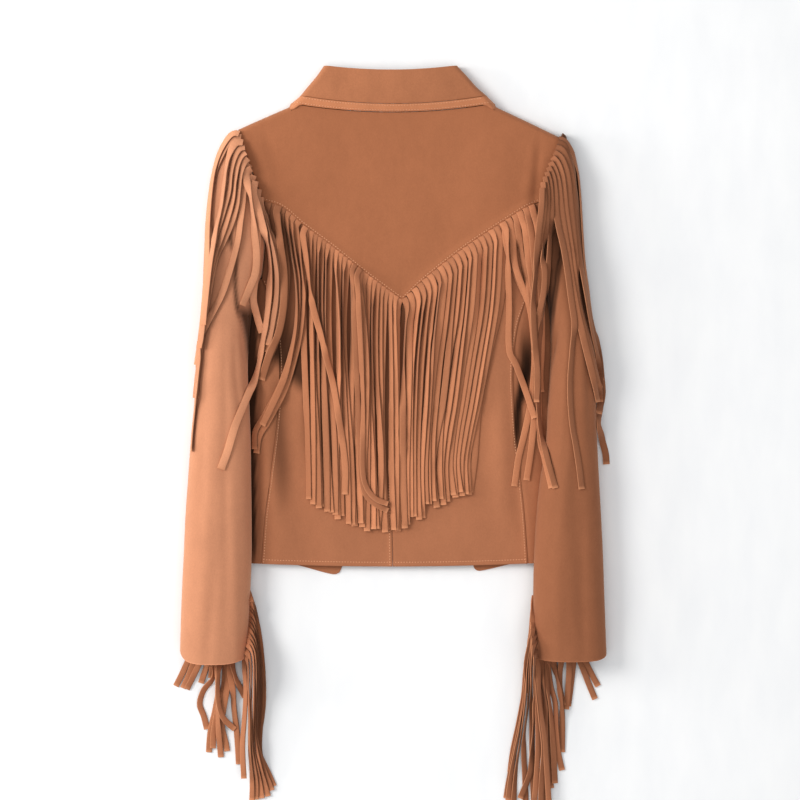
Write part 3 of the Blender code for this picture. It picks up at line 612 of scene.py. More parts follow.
def collar_ring(name, node, levels, shares, lift, creases, tuck=0.0, pale=1.0):
    """A strip of suede over the back of the neck, round the side folds and back below. Tuck is
    how far its sewn edge reaches down at the ends, over the shoulder seams."""
    radius = COLLAR_RADIUS
    grid = []
    for share in shares:
        level = between(levels, share)
        gap = BAND_GAP if share == 0 else 0.0
        left, right = level.left + radius, level.right - radius
        turns = np.linspace(0, math.pi, 11)[1:-1]

        def returned(x, fold, end):
            drop = FRONT_NECK_DROP * np.abs((x - fold) / (end - fold))
            return np.stack([x, level_y(level, x) + gap - drop, np.zeros(len(x))], -1)

        def fold(x, z):
            return np.stack([x, level_y(level, x) + gap, z], -1)

        high = level.height + lift(share)
        across = np.linspace(left, right, 61)
        z = high + folds_height(creases, across, level_y(level, across))
        row = np.concatenate([
            returned(np.linspace(level.left_end, left, 13), level.left, level.left_end),
            fold(left - radius * np.sin(turns), high / 2 * (1 - np.cos(turns))),
            fold(across, z),
            fold(right + radius * np.sin(turns), high / 2 * (1 + np.cos(turns))),
            returned(np.linspace(right, level.right_end, 13), level.right, level.right_end)])
        near_end = np.maximum(ease((left + 6 - row[:, 0]) / 7), ease((row[:, 0] - right + 6) / 7))
        near_end *= (1 - share) * (row[:, 2] > high / 2)
        row[:, 1] -= tuck * near_end
        row[:, 0] += np.sign(row[:, 0]) * 0.4 * tuck * near_end
        grid.append(row)
    grid = np.array(grid)
    return stands_for(suede_sheet(name, grid, collar_suede, tone=pale * collar_tone(grid[..., 0])), node)


def band_lift(t):
    """The band is full in the middle and pressed at both its sewn edges."""
    return 0.9 * math.sin(math.pi * min(max(t, 0.02), 0.98)) ** 0.35


def collar_lift(t):
    """The collar rises out of the band's seam and rounds over at its upper edge."""
    return 0.5 * min(t / 0.1, 1.0) - 0.5 * max(0.0, (t - 0.96) / 0.04) ** 2


collar_stand = collar_ring("collar_stand", "neck_band", [NECK_SEAM, BAND_TOP],
                           [0, 0.04, 0.1, 0.18, 0.28, 0.4, 0.55, 0.7, 0.82, 0.9, 0.96, 1.0],
                           band_lift, [], tuck=6.0, pale=1.22)
collar_leaf = collar_ring("collar_leaf", "collar", [BAND_TOP, COLLAR_LOW, COLLAR_HIGH, COLLAR_TOP],
                          [0, 0.02, 0.05] + list(np.linspace(0.1, 0.93, 16)) + [0.96, 0.985, 1.0],
                          collar_lift, COLLAR_CREASES)

# ---- The sleeves --------------------------------------------------------------------------
# One-piece set-in sleeves: round soft tubes, a little flattened where they lie, with their
# one seam down the inner side. They are open at the cuff and towards the armhole.
AROUND = 40                               # steps over the crown, and as many back underneath
HEAD_GAP, SLEEVE_CLEAR = 0.9, 0.9
CUFF_Y, HEAD_Y = -255, 352
HEAD_END, HEAD_END_LOW = 9.0, 0.8         # the head closes round the end of the shoulder seam
CUFF_DROP = {"left": 6.0, "right": 2.8}   # the cuff dips in the middle
OUTER_RISE = {"left": 7.0, "right": 3.5}  # and its outer corner sits higher than the inner one
RIM_DRAWN, RIM_PALE = 0.4, 0.35           # its turned edge is drawn in, and paler right at the edge
Sleeve = namedtuple("Sleeve", "y inner outer height seam")
SLEEVES = {
    "left": table(Sleeve,
        (-255, -170.5, -247.5, 41, 17), (-215, -167.0, -246.5, 44, 18), (-175, -165.0, -245.0, 45, 18),
        (-133, -163.5, -243.0, 44, 18), (-90, -163.5, -241.0, 47, 19), (-46, -164.0, -238.0, 45, 19),
        (-5, -164.5, -235.0, 47, 19), (40, -166.0, -231.0, 45, 19), (80, -168.0, -228.5, 44, 17),
        (118, -167.0, -225.0, 42, 12), (152, -163.5, -222.0, 40, 11), (188, -155.0, -220.5, 38, 11),
        (197, -151.8, -220.3, 37, 9),
    ),
    "right": table(Sleeve,
        (-255, 170.0, 253.0, 40, 17), (-215, 167.5, 251.5, 43, 18), (-175, 167.0, 250.0, 45, 18),
        (-133, 168.0, 248.5, 46, 19), (-90, 170.5, 246.5, 44, 19), (-46, 175.0, 244.0, 46, 19),
        (-5, 181.5, 242.0, 44, 19), (40, 184.0, 240.5, 45, 18), (80, 186.5, 240.0, 44, 17),
        (118, 187.5, 238.0, 42, 12), (152, 185.5, 233.0, 40, 11), (188, 178.0, 230.0, 38, 11),
        (197, 174.3, 229.0, 37, 9),
    ),
}
Head = namedtuple("Head", "y left right height")
SLEEVE_HEAD = table(Head,
    (206, -220.0, 228.0, 36), (240, -218.5, 226.0, 33), (281, -213.5, 223.0, 31),
    (318, -207.0, 218.5, 27), (340, -200.5, 211.5, 23), (352, -195.0, 206.5, 19),
)
# Creases on the sleeves: place along and round the tube (0 at the seam, 1 at the outer side,
# 2 back at the seam), length along, width round, depth, and how far they wind as they run.
Crease = namedtuple("Crease", "y turn length width depth wind")
SLEEVE_CREASES = {
    "left": table(Crease,
        (-60, 0.42, 330, 0.05, -1.3, 0.03), (-120, 0.60, 260, 0.06, 0.9, -0.04),
        (-170, 0.30, 190, 0.05, 0.8, 0.05), (20, 0.70, 210, 0.07, -1.2, 0.04),
        (-200, 0.52, 130, 0.05, -0.9, -0.03), (60, 0.28, 120, 0.05, -1.4, 0.06),
        (110, 0.16, 50, 0.06, -2.2, 0.10), (136, 0.24, 44, 0.05, 1.5, 0.10),
        (150, 0.12, 40, 0.05, -2.0, 0.12), (250, 0.55, 150, 0.07, -1.2, 0.0),
        (-40, 1.40, 260, 0.08, 0.8, 0.0), (-140, 1.62, 160, 0.06, 0.7, 0.05),
    ),
    "right": table(Crease,
        (-40, 0.55, 330, 0.06, -1.8, -0.03), (-140, 0.40, 260, 0.06, 1.1, 0.04),
        (-150, 0.62, 230, 0.05, -1.3, 0.02), (40, 0.36, 200, 0.05, 1.0, 0.03),
        (-210, 0.74, 120, 0.06, 0.8, 0.0), (70, 0.72, 160, 0.06, -1.3, -0.04),
        (112, 0.16, 50, 0.06, -2.2, 0.10), (140, 0.24, 44, 0.05, 1.4, 0.10),
        (240, 0.50, 150, 0.07, -1.0, 0.0), (-60, 1.38, 260, 0.08, 0.8, 0.0),
        (-170, 1.60, 150, 0.06, 0.7, 0.04),
    ),
}


def sleeve_rows(side):
    """All sections of a sleeve. Those of its head start at the armhole, with no seam height."""
    out = -1 if side == "left" else 1
    rows = list(SLEEVES[side])
    for head in SLEEVE_HEAD:
        inner = float(along(ARMHOLE, head.y, side)) + out * HEAD_GAP
        rows.append(Sleeve(head.y, inner, getattr(head, side), head.height, 0))
    return rows


def support(x, y, side):
    """Height of what a sleeve lies on: the board, or the edge of the body."""
    if y > UNDERARM_Y:
        return np.zeros(len(x))
    fold = float(along(BODY, y, side))
    inward = (x - fold) if side == "left" else (fold - x)
    return ease((inward + 15) / 12) * (np.maximum(back_height(x, y), 2 * SIDE_RADIUS) + SLEEVE_CLEAR)


def sleeve_section(row, side, count=AROUND):
    """Points round one section: over the crown from the inner side, then back underneath."""
    turn = np.linspace(0, 1, count + 1) * math.pi
    t = (1 - np.cos(turn)) / 2
    outer_z = row.height * 0.42
    start = row.seam if row.seam else float(back_height(np.array(row.inner), row.y))
    crown = row.height - mix(start, outer_z, 0.5)
    upper = np.stack([mix(row.inner, row.outer, t), np.full(count + 1, row.y),
                      mix(start, outer_z, t) + crown * np.sin(turn) ** 0.85], -1)
    x = mix(row.outer, row.inner, t)
    z = mix(outer_z, row.seam, t) * (1 - np.sin(turn) ** 0.5)
    if row.seam == 0:
        z = z * (1 - t)
    else:
        z[:-1] = np.maximum(z, support(x, row.y, side))[:-1]
    lower = np.stack([x, np.full(count + 1, row.y), z], -1)
    return np.concatenate([upper, lower[1:]])


# Two copies of one tan suede: the left sleeve's is paler with more sheen, as painted light, and the right
# sleeve's is darker, as painted shade.
sleeve_suede = {"left": suede("tan suede painted light", (0.54, 0.25, 0.145), sheen=0.45),
                "right": suede("tan suede painted shade", (0.315, 0.13, 0.067), sheen=0.25)}


def underarm(x, y):
    """The hollow where the left sleeve folds in at the underarm: its line, and how far a point
    is within it."""
    line = np.interp(y, [85, 116, 137, 158, 178, 225, 262],
                     [-167.5, -170.5, -174, -179.8, -181.5, -181, -177])
    inside = ease((x - line + 2.0) / 5) * ease((y - 78) / 30) * ease((162 - y) / 16)
    return line, inside


def sleeve_tone(x, y, side):
    """Painted shade: darker in the hollows and where the fringe keeps the sleeve in shade."""
    if side == "left":
        # On the left sleeve: painted shade in the underarm hollow and in two narrow crevices.
        line, inside = underarm(x, y)
        trough = 0.8 * np.exp(-((x - line) / 2.6) ** 2) * ease((y - 138) / 18) * ease((272 - y) / 30)
        second = 0.8 * np.exp(-((x + 187.5 + (y - 238) * 0.12) / 3.0) ** 2 - ((y - 238) / 16) ** 4)
        return 1.0 - np.maximum(np.maximum(0.82 * inside, trough), second)
    # On the right sleeve: painted shade under the fringe, lifted in one lit window, and near-black painted
    # shade along its inner edge.
    left_edge = np.interp(y, [40, 127, 163, 199, 232, 262], [184.5, 188, 192, 197.5, 203, 201])
    window = ease((x - left_edge) / 3) * ease((217 - x) / 4) * ease((238 - y) / 14)
    shade = 0.66 * ease((y - 118) / 40) * (1 - window)
    gap = 0.88 * np.exp(-((x - left_edge + 3.6) / 3.0) ** 2) * ease((y - 50) / 40) * ease((262 - y) / 12)
    return 1.0 - np.maximum(shade, gap)


def sleeve_rings(side):
    """Many sections along a sleeve, on smooth curves through the ones in the tables."""
    rows = sleeve_rows(side)
    sections = np.array([sleeve_section(row, side) for row in rows])
    keys = np.array([row.y for row in rows], float)
    ys = np.concatenate([[CUFF_Y, -254.4, -253.4, -251.5], np.linspace(-248, 188, 96),
                         np.linspace(188, HEAD_Y, 32)[1:]])
    low = np.clip(np.searchsorted(keys, ys, side="right") - 1, 0, len(keys) - 2)
    span = (keys[low + 1] - keys[low])[:, None]
    share = (ys - keys[low])[:, None] / span
    slope = np.gradient(sections, keys, axis=0)
    rings = np.zeros((len(ys), sections.shape[1], 3))
    for axis in (0, 2):
        rings[:, :, axis] = smoothly(sections[low, :, axis], sections[low + 1, :, axis],
                                     slope[low, :, axis] * span, slope[low + 1, :, axis] * span, share)
    rings[:, :, 1] = ys[:, None]
    return ys, rings


def outward_of(rings, side):
    """Which way is out of the tube, at each of its points."""
    ahead, behind = np.roll(rings, -1, 1), np.roll(rings, 1, 1)
    ahead[:, -1], behind[:, 0] = rings[:, 1], rings[:, -2]
    run = ahead - behind
    run /= np.linalg.norm(run, axis=2, keepdims=True) + 1e-9
    out = 1 if side == "left" else -1
    return np.stack([run[:, :, 2] * out, np.zeros(run.shape[:2]), -run[:, :, 0] * out], -1)


def sleeve(name, side, node):
    ys, rings = sleeve_rings(side)
    turns = np.linspace(0, 2, rings.shape[1])
    normal = outward_of(rings, side)
    depth = np.zeros(rings.shape[:2])
    for crease in SLEEVE_CREASES[side]:
        along_it = (ys - crease.y)[:, None] / crease.length
        around = turns[None, :] - crease.turn - crease.wind * along_it * 2
        depth += crease.depth * np.exp(-(around / crease.width) ** 2 - (2 * along_it) ** 4)
    calm = np.minimum(ease(turns[None, :] / 0.12), ease((2 - turns[None, :]) / 0.12))
    calm = calm * ease((HEAD_Y - ys)[:, None] / 40)
    touching = (turns[None, :] > 1.0) & (rings[:, :, 2] < 2.5)
    rings += normal * (depth * calm * ~touching)[:, :, None]

    # The cuff: its turned edge is drawn in a little, and dips in the middle.
    rim = np.exp(-((ys - CUFF_Y)[:, None] / 1.0) ** 2)
    rings -= normal * (RIM_DRAWN * rim * ~touching)[:, :, None]
    inner, outer = rings[0, 0, 0], rings[0, AROUND, 0]
    outward = 2 * (rings[:, :, 0] - inner) / (outer - inner) - 1
    dip = CUFF_DROP[side] * (1 - np.minimum(np.abs(outward), 1.0) ** 3)
    rise = OUTER_RISE[side] * np.clip(outward, 0, 1) ** 9
    rings[:, :, 1] += (rise - dip) * (1 - ease((ys - CUFF_Y) / 30)[:, None])

    # Above the underarm the tube's lower end meets the armhole instead of its own seam.
    rings[:, -1] = rings[:, 0]
    for row in np.flatnonzero(ys > UNDERARM_Y):
        edge = Sleeve(ys[row], rings[row, 0, 0], rings[row, AROUND, 0], 30, 0)
        rings[row, -1] = sleeve_section(edge, side, 2)[-1]
    if side == "left":
        upper = turns[None, :] < 0.9
        rings[:, :, 2] *= 1 - 0.5 * underarm(rings[..., 0], rings[..., 1])[1] * upper
    rings[:, :, 2] = np.maximum(rings[:, :, 2], 0.0)
    tone = sleeve_tone(rings[..., 0], rings[..., 1], side) * (1 + RIM_PALE * rim)

    # The head closes round the end of the shoulder seam.
    last = rings[-1]
    closing = []
    for turn in np.linspace(0, math.pi / 2, 7)[1:]:
        y, size = ys[-1] + HEAD_END * math.sin(turn), max(math.cos(turn), 0.04)
        seam_x = float(along(ARMHOLE, y, side)) + (HEAD_GAP if side == "right" else -HEAD_GAP)
        closing.append(np.stack([seam_x + (last[:, 0] - last[0, 0]) * size, np.full(len(last), y),
                                 last[:, 2] * mix(HEAD_END_LOW, 1.0, size)], -1))
    tone = np.concatenate([tone, np.repeat(tone[-1:], len(closing), 0)])
    return stands_for(suede_sheet(name, np.concatenate([rings, closing]), sleeve_suede[side],
                                  flip=side == "left", tone=tone), node)


sleeve_shell_left = sleeve("sleeve_shell_left", "left", "sleeve_left")
sleeve_shell_right = sleeve("sleeve_shell_right", "right", "sleeve_right")

# ---- The topstitching ---------------------------------------------------------------------
# Light tan thread in small sunk stitches: one row along the V, the centre back, each side seam
# and the hem, and two on the neck band. A single stitch is made and copied along each row.
PITCH, STITCH_LENGTH, STITCH_RADIUS, STITCH_SINK = 3.3, 1.8, 0.45, 0.05
THREAD = (0.8, 0.44, 0.27, 1.0)

bpy.ops.mesh.primitive_uv_sphere_add(segments=6, ring_count=5, radius=STITCH_RADIUS * MM)
stitch = bpy.context.active_object
bpy.ops.object.mode_set(mode="EDIT")
bpy.ops.mesh.select_all(action="SELECT")
bpy.ops.transform.rotate(value=math.pi / 2, orient_axis="Y", center_override=(0, 0, 0))
bpy.ops.transform.resize(value=(STITCH_LENGTH / 2 / STITCH_RADIUS, 1.0, 0.8))
bpy.ops.object.mode_set(mode="OBJECT")
stitch_points = np.array([v.co[:] for v in stitch.data.vertices]) / MM
stitch_faces = sorted(list(f.vertices) for f in stitch.data.polygons)    # the same order each run
bpy.data.objects.remove(stitch)

thread, nodes, links, shader = new_material("tan thread", {"Roughness": 0.7, "Specular IOR Level": 0.2})
ply = with_inputs(nodes.new("ShaderNodeTexNoise"), {"Scale": 900.0})
ply_place = nodes.new("ShaderNodeTexCoord")
ply_colour = colour_mix(nodes, {"A": tuple(c * 0.8 for c in THREAD[:3]) + (1.0,), "B": THREAD})
links.new(ply_place.outputs["Object"], ply.inputs["Vector"])
links.new(ply.outputs["Fac"], ply_colour.inputs["Factor"])
links.new(ply_colour.outputs["Result"], shader.inputs["Base Color"])


def skins_tree():
    """Every outer skin laid so far, as one tree to drop points on."""
    points, faces = [], []
    for skin_points, skin_faces in skins:
        faces += [[i + len(points) for i in face] for face in skin_faces]
        points += skin_points
    return BVHTree.FromPolygons(points, faces)


jacket = skins_tree()


def skin_height(x, y):
    hit = jacket.ray_cast(Vector((x * MM, y * MM, 0.2)), Vector((0, 0, -1)))[0]
    return hit.z / MM if hit else 0.0


def walked(line):
    """How far along a line of points each one is."""
    return np.concatenate([[0], np.cumsum(np.linalg.norm(np.diff(line, axis=0), axis=1))])


def headings(line):
    """Which way a line of points runs, at each of them."""
    run = np.gradient(line, axis=0)
    return run / np.linalg.norm(run, axis=1, keepdims=True)


def stitching(name, rows):
    """Stitches along rows of (x, y), dropped on the suede from above."""
    points, faces = [], []
    for row in rows:
        gone = walked(row)
        at = np.arange(0, gone[-1], PITCH)
        places = np.stack([np.interp(at, gone, row[:, axis]) for axis in (0, 1)], -1)
        line = np.concatenate([places, [[skin_height(*place)] for place in places]], 1)
        for place, ahead in zip(line, headings(line)):
            side = np.cross((0, 0, 1), ahead)
            side /= np.linalg.norm(side)
            up = np.cross(ahead, side)
            base = len(points) * len(stitch_points)
            points.append(place + up * (STITCH_RADIUS * 0.35 - STITCH_SINK)
                          + stitch_points @ np.stack([ahead, side, up]))
            faces += [[i + base for i in face] for face in stitch_faces]
    mesh = bpy.data.meshes.new(name)
    mesh.from_pydata((np.concatenate(points) * MM).tolist(), [], faces)
    mesh.materials.append(thread)
    for face in mesh.polygons:
        face.use_smooth = True
    piece = placed(name, mesh)
    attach(piece, "root")
    return piece


V_STITCH, SIDE_STITCH, HEM_STITCH = 2.6, 2.4, 5.0
across_v = np.linspace(V_LEFT[0].x + 2, V_RIGHT[-1].x - 2, 120)
v_lines = [np.stack([x, v_seam_y(x) + V_STITCH * 1.25], -1)
           for x in (across_v[across_v <= tip_x], across_v[across_v > tip_x])]
yoke_stitches = stitching("yoke_stitches", v_lines)

down = np.linspace(HEM_Y + 2, V_LEFT[-1].y - 3, 90)
centre_line = np.stack([along(CENTRE_SEAM, down, "x") - 3.0, down], -1)
side_down = np.linspace(HEM_Y + 5.5, UNDERARM_Y - 2, 90)
side_lines = [np.stack([along(SIDE_SEAM, side_down, side) + inward, side_down], -1)
              for side, inward in (("left", SIDE_STITCH), ("right", -SIDE_STITCH))]
hem_x = np.linspace(SIDE_SEAM[0].left + 3, SIDE_SEAM[0].right - 3, 90)
hem_line = np.stack([hem_x, HEM_Y + HEM_STITCH + hem_rise(hem_x)], -1)
back_stitches = stitching("back_stitches", [centre_line, *side_lines, hem_line])


def band_row(share, shift):
    level = between([NECK_SEAM, BAND_TOP], share)
    x = np.linspace(level.left + 5, level.right - 5, 70)
    return np.stack([x, level_y(level, x) + shift], -1)


collar_stitches = stitching("collar_stitches", [band_row(0.0, 2.2), band_row(1.0, -1.8)])

# ---- The fringe ---------------------------------------------------------------------------
# Strips cut from bands of suede, sewn into the V, the armholes and the ends of the sleeve
# seams. Each comes out of its seam, turns partly on edge, falls, and lies on what is under it.
STRIP, STRIP_WALL = 7.6, 1.15
CUP, CLEAR = 0.25, 0.15          # how far a strip is bowed, and its gap to what it lies on
CUT_ROUNDING = 0.18              # at its cut edges
STEEPEST_GROUND, STEEPEST_STRIP = 0.8, 1.31      # a slope, and an angle in radians
HANG_REACH = 75.0                # where a strip that leaves its seam high has come down
STEP = 4.0                       # between a strip's sections
CELL = 1.2                       # of the height map that the strips are laid on
MAP_X, MAP_Y = -276.0, -456.0
MAP_SIZE = (460, 716)

fringe_random = np.random.default_rng(7)
heights = np.zeros(MAP_SIZE)
for i in range(MAP_SIZE[0]):
    for j in range(MAP_SIZE[1]):
        heights[i, j] = skin_height(MAP_X + i * CELL, MAP_Y + j * CELL)
heights = np.maximum(heights, 0.0)

# Colour of the pale cut edge: partly the raw edge's own colour, partly a painted highlight.
RAW_EDGE_AND_HIGHLIGHT = (0.62, 0.285, 0.155, 1.0)


def fringe_suede(name, colour):
    """Napped suede strips: each its own shade, paler along the cut edge toward the light and at the cut
    end, partly the raw edge's own colour and partly a painted highlight.
    """
    material = suede(name, colour, patches=0.03, nap=0.07)
    nodes, links = material.node_tree.nodes, material.node_tree.links
    base = nodes["Principled BSDF"].inputs["Base Color"]
    shade = base.links[0].from_node
    raw = nodes.new("ShaderNodeAttribute")
    raw.attribute_name = "raw_edge"
    edged = colour_mix(nodes, {"B": RAW_EDGE_AND_HIGHLIGHT})
    amount = with_inputs(nodes.new("ShaderNodeMath"), {1: 0.75})
    amount.operation = "MULTIPLY"
    links.new(raw.outputs["Fac"], amount.inputs[0])
    links.new(amount.outputs["Value"], edged.inputs["Factor"])
    links.new(shade.outputs["Vector"], edged.inputs["A"])
    links.new(edged.outputs["Result"], base)
    return material


strip_suede = fringe_suede("fringe suede", (0.48, 0.204, 0.108))
# A paler copy of the fringe suede for the strips over the left sleeve: painted light.
lit_strip_suede = fringe_suede("fringe suede painted light", (0.52, 0.245, 0.142))

# Across a strip: the places of its points from edge to edge, and each one's painted shade all round: the
# underside and the edge away from the light are darker.
TOP_SHARES = np.array([-1.0, -0.8, -0.3, 0.3, 0.88, 1.0])
PAINTED_UNDERSIDE_SHADE = np.array([1.0, 1.0, 1.0, 1.0, 0.95, 0.42, 0.4, 0.42, 0.42, 0.42, 0.42, 0.6])


def smooth_path(points):
    """One smooth curve through a few points, at even steps."""
    p = np.array(points, float)
    p = np.concatenate([[2 * p[0] - p[1]], p, [2 * p[-1] - p[-2]]])
    t = np.linspace(0, 1, 13)[:-1, None]
    pieces = []
    for a, b, c, d in zip(p[:-3], p[1:-2], p[2:-1], p[3:]):
        pieces.append(0.5 * (2 * b + (c - a) * t + (2 * a - 5 * b + 4 * c - d) * t ** 2
                             + (3 * b - a - 3 * c + d) * t ** 3))
    line = np.concatenate(pieces + [p[-2:-1]])
    gone = walked(line)
    at = np.linspace(0, gone[-1], max(int(round(gone[-1] / STEP)), 4) + 1)
    return np.stack([np.interp(at, gone, line[:, axis]) for axis in (0, 1)], -1)


def under(x, y):
    i = np.clip(np.rint((x - MAP_X) / CELL).astype(int), 0, MAP_SIZE[0] - 1)
    j = np.clip(np.rint((y - MAP_Y) / CELL).astype(int), 0, MAP_SIZE[1] - 1)
    return heights[i, j]


def spread(values, reach, soft):
    """Raise each value to the highest one near it, then soften the line."""
    padded = np.pad(values, reach, mode="edge")
    raised = np.max([padded[k:k + len(values)] for k in range(2 * reach + 1)], axis=0)
    padded = np.pad(raised, soft, mode="edge")
    weights = np.hanning(2 * soft + 3)[1:-1]
    return np.convolve(padded, weights / weights.sum(), mode="valid")


class Fringe:
    """The strips of one group, gathered into one mesh."""

    def __init__(self):
        self.points, self.faces, self.tone, self.raw = [], [], [], []
        self.count = 0

    def lay(self, path, turns, width=STRIP, tone=1.0, floor=None, hang=0.0):
        """Lay a strip along a path. Turns are (share of the length, degrees) pairs, the roll
        about its own length; floor gives the height of what it lies on, where that isn't on
        the map; hang is how high it leaves its seam."""
        line = smooth_path(path)
        gone, run = walked(line), headings(line)
        side = np.stack([-run[:, 1], run[:, 0]], -1)
        roll = np.radians(np.interp(gone / gone[-1], [t[0] for t in turns], [t[1] for t in turns]))
        s = width / 2 * TOP_SHARES
        base = floor(line) if floor else None

        def ground(angle, lift):
            u = s[None] * np.cos(angle)[:, None] + lift * np.sin(angle)[:, None]
            g = under(line[:, :1] + u * side[:, :1], line[:, 1:] + u * side[:, 1:])
            return g if base is None else np.where(np.isnan(base)[:, None], g, base[:, None])

        lying = ground(np.zeros(len(line)), 0.0)
        weights = s - s.mean()
        slope = (lying * weights).sum(1) / (weights ** 2).sum()
        slope = spread(np.clip(slope, -STEEPEST_GROUND, STEEPEST_GROUND), 0, 2)
        angle = np.clip(np.arctan(slope) + roll, -STEEPEST_STRIP, STEEPEST_STRIP)
        clear = ground(angle, STRIP_WALL) + CLEAR
        clear = clear - s[None] * np.sin(angle)[:, None] + STRIP_WALL * np.cos(angle)[:, None]
        centre = spread(clear.max(1), 1, 2)
        if hang:
            centre = np.maximum(centre, hang * np.maximum(1 - gone / HANG_REACH, 0) ** 1.4 + STRIP_WALL)
        bow = CUP * (1 - TOP_SHARES ** 2)
        lower_edge = CUT_ROUNDING * (np.abs(TOP_SHARES) > 0.95)
        normal = np.stack([-np.sin(angle) * side[:, 0], -np.sin(angle) * side[:, 1], np.cos(angle)], -1)
        across = np.stack([side[:, 0] * np.cos(angle), side[:, 1] * np.cos(angle), np.sin(angle)], -1)
        middle = np.concatenate([line, centre[:, None]], 1)
        top = (middle[:, None] + across[:, None] * s[None, :, None]
               + normal[:, None] * (bow - lower_edge)[None, :, None])
        low = (middle[:, None] + across[:, None] * s[None, ::-1, None]
               + normal[:, None] * (bow[::-1] + lower_edge[::-1] - STRIP_WALL)[None, :, None])
        self.add(np.concatenate([top, low], 1), tone, leans=float(np.sign(-run[:, 1].mean())))
        self.mark(middle, across, s, None if base is None else np.isnan(base))

    def add(self, ring, tone, leans):
        """Skin a strip's sections, close its ends, and shade it: painted shade on its underside and the
        edge away from the light, and its pale cut edge.
        """
        sections, around = ring.shape[:2]
        number = self.count + np.arange(sections * around).reshape(sections, around)
        ahead = np.roll(number, -1, 1)
        quads = np.stack([number[:-1], number[1:], ahead[1:], ahead[:-1]], -1).reshape(-1, 4)
        caps = []
        for row, back in ((number[0], True), (number[-1], False)):
            for k in range(around // 2 - 1):
                quad = [row[k], row[k + 1], row[around - 2 - k], row[around - 1 - k]]
                caps.append(quad if back else quad[::-1])
        self.faces += [quads, np.array(caps)]
        self.points.append(ring.reshape(-1, 3))
        # Painted shade: the underside and the edge away from the light are darker.
        underside_shade = PAINTED_UNDERSIDE_SHADE if leans > 0 else np.concatenate([PAINTED_UNDERSIDE_SHADE[5::-1], PAINTED_UNDERSIDE_SHADE[:5:-1]])
        self.tone.append(tone * np.tile(underside_shade, sections))
        # The pale cut edge is the one toward the light, and the cut end: partly the raw edge's own colour,
        # partly a painted highlight.
        raw = np.concatenate([TOP_SHARES, TOP_SHARES[::-1]]) * leans < -0.95
        raw = np.tile(raw, (sections, 1)).astype(float)
        raw[-1] = 1.0
        self.raw.append(raw.ravel())
        self.count += sections * around

    def mark(self, middle, across, s, open_air):
        """Raise the height map to what has been laid, except where it lies on a floor."""
        fine = np.linspace(0, len(middle) - 1, (len(middle) - 1) * 5 + 1)
        low = np.minimum(fine.astype(int), len(middle) - 2)
        t = (fine - low)[:, None]
        m = middle[low] * (1 - t) + middle[low + 1] * t
        a = across[low] * (1 - t) + across[low + 1] * t
        u = np.linspace(s[0], s[-1], 13)
        p = m[:, None] + a[:, None] * u[None, :, None]
        if open_air is not None:
            p = p[open_air[low]]
        p = p.reshape(-1, 3)
        i = np.rint((p[:, 0] - MAP_X) / CELL).astype(int)
        j = np.rint((p[:, 1] - MAP_Y) / CELL).astype(int)
        inside = (i >= 0) & (i < MAP_SIZE[0]) & (j >= 0) & (j < MAP_SIZE[1])
        np.maximum.at(heights, (i[inside], j[inside]), p[inside, 2])

    def piece(self, name, node, material):
        mesh = bpy.data.meshes.new(name)
        mesh.from_pydata((np.concatenate(self.points) * MM).tolist(), [],
                         np.concatenate(self.faces).tolist())
        for label, values in (("tone", self.tone), ("raw_edge", self.raw)):
            mesh.attributes.new(label, "FLOAT", "POINT").data.foreach_set("value", np.concatenate(values))
        mesh.materials.append(material)
        return stands_for(finished(placed(name, mesh), 40), node)


def shades(count):
    return 1.0 + fringe_random.normal(0, 0.1, count).clip(-0.2, 0.16)


# The lines of the strips that are laid one by one, each from root to end, in X and Y. The two
# lists of ends are where the dense rest of the yoke's strips stop.
YOKE_SWEPT_LEFT = [
    [(-147.5, 264.9), (-142.8, 242.5), (-136.9, 201.2), (-135.7, 165.8), (-142.8, 130.4),
     (-148.7, 104.4)],
    [(-141.6, 262.6), (-135.7, 236.6), (-131, 195.3), (-131, 159.9), (-138.1, 124.5), (-146.3, 95)],
    [(-135.7, 260.2), (-129.8, 234.2), (-125.1, 195.3), (-126.3, 154), (-132.2, 124.5), (-142.8, 99.7),
     (-152.2, 71.4)],
    [(-129.8, 255.5), (-125.1, 230.7), (-121.5, 195), (-124.5, 160), (-130.5, 130), (-138.5, 107),
     (-146.5, 90)],
    [(-123.9, 251.9), (-118.5, 227.1), (-112.5, 190), (-111, 150), (-115, 115), (-126, 72), (-141, 38),
     (-151, 18)],
    [(-118, 247.2), (-113.3, 222.4), (-108.6, 183.5), (-109.7, 142.2), (-116.8, 104.4), (-129.8, 64.3),
     (-147.5, 31.3), (-159.3, 11.2), (-160.5, -10)],
    [(-112.1, 242.5), (-107.4, 217.7), (-102.7, 177.6), (-105, 136.3), (-112.1, 102.1), (-125.1, 59.6),
     (-142.8, 25.4), (-154.6, 5.3), (-158.1, -14.8)],
]
YOKE_SPECIAL_LEFT = [
    [(-103.8, 235.4), (-99.1, 210.6), (-93.2, 165.8), (-79.1, 111.5), (-66.1, 57.2), (-54.3, -23),
     (-54.3, -63.1)],
    [(-46, 195.3), (-43.7, 165.8), (-41.3, 106.8), (-38.9, 47.8), (-36.6, -11.2), (-34.2, -46.6),
     (-28.3, -65.5), (-17.7, -74.9), (-3.5, -82)],
    [(-40.1, 190.6), (-37.8, 159.9), (-35.4, 106.8), (-33, 47.8), (-33, 0.6), (-33, -34.8),
     (-28.3, -54.9), (-17.7, -67.8), (-3.5, -73.8)],
]
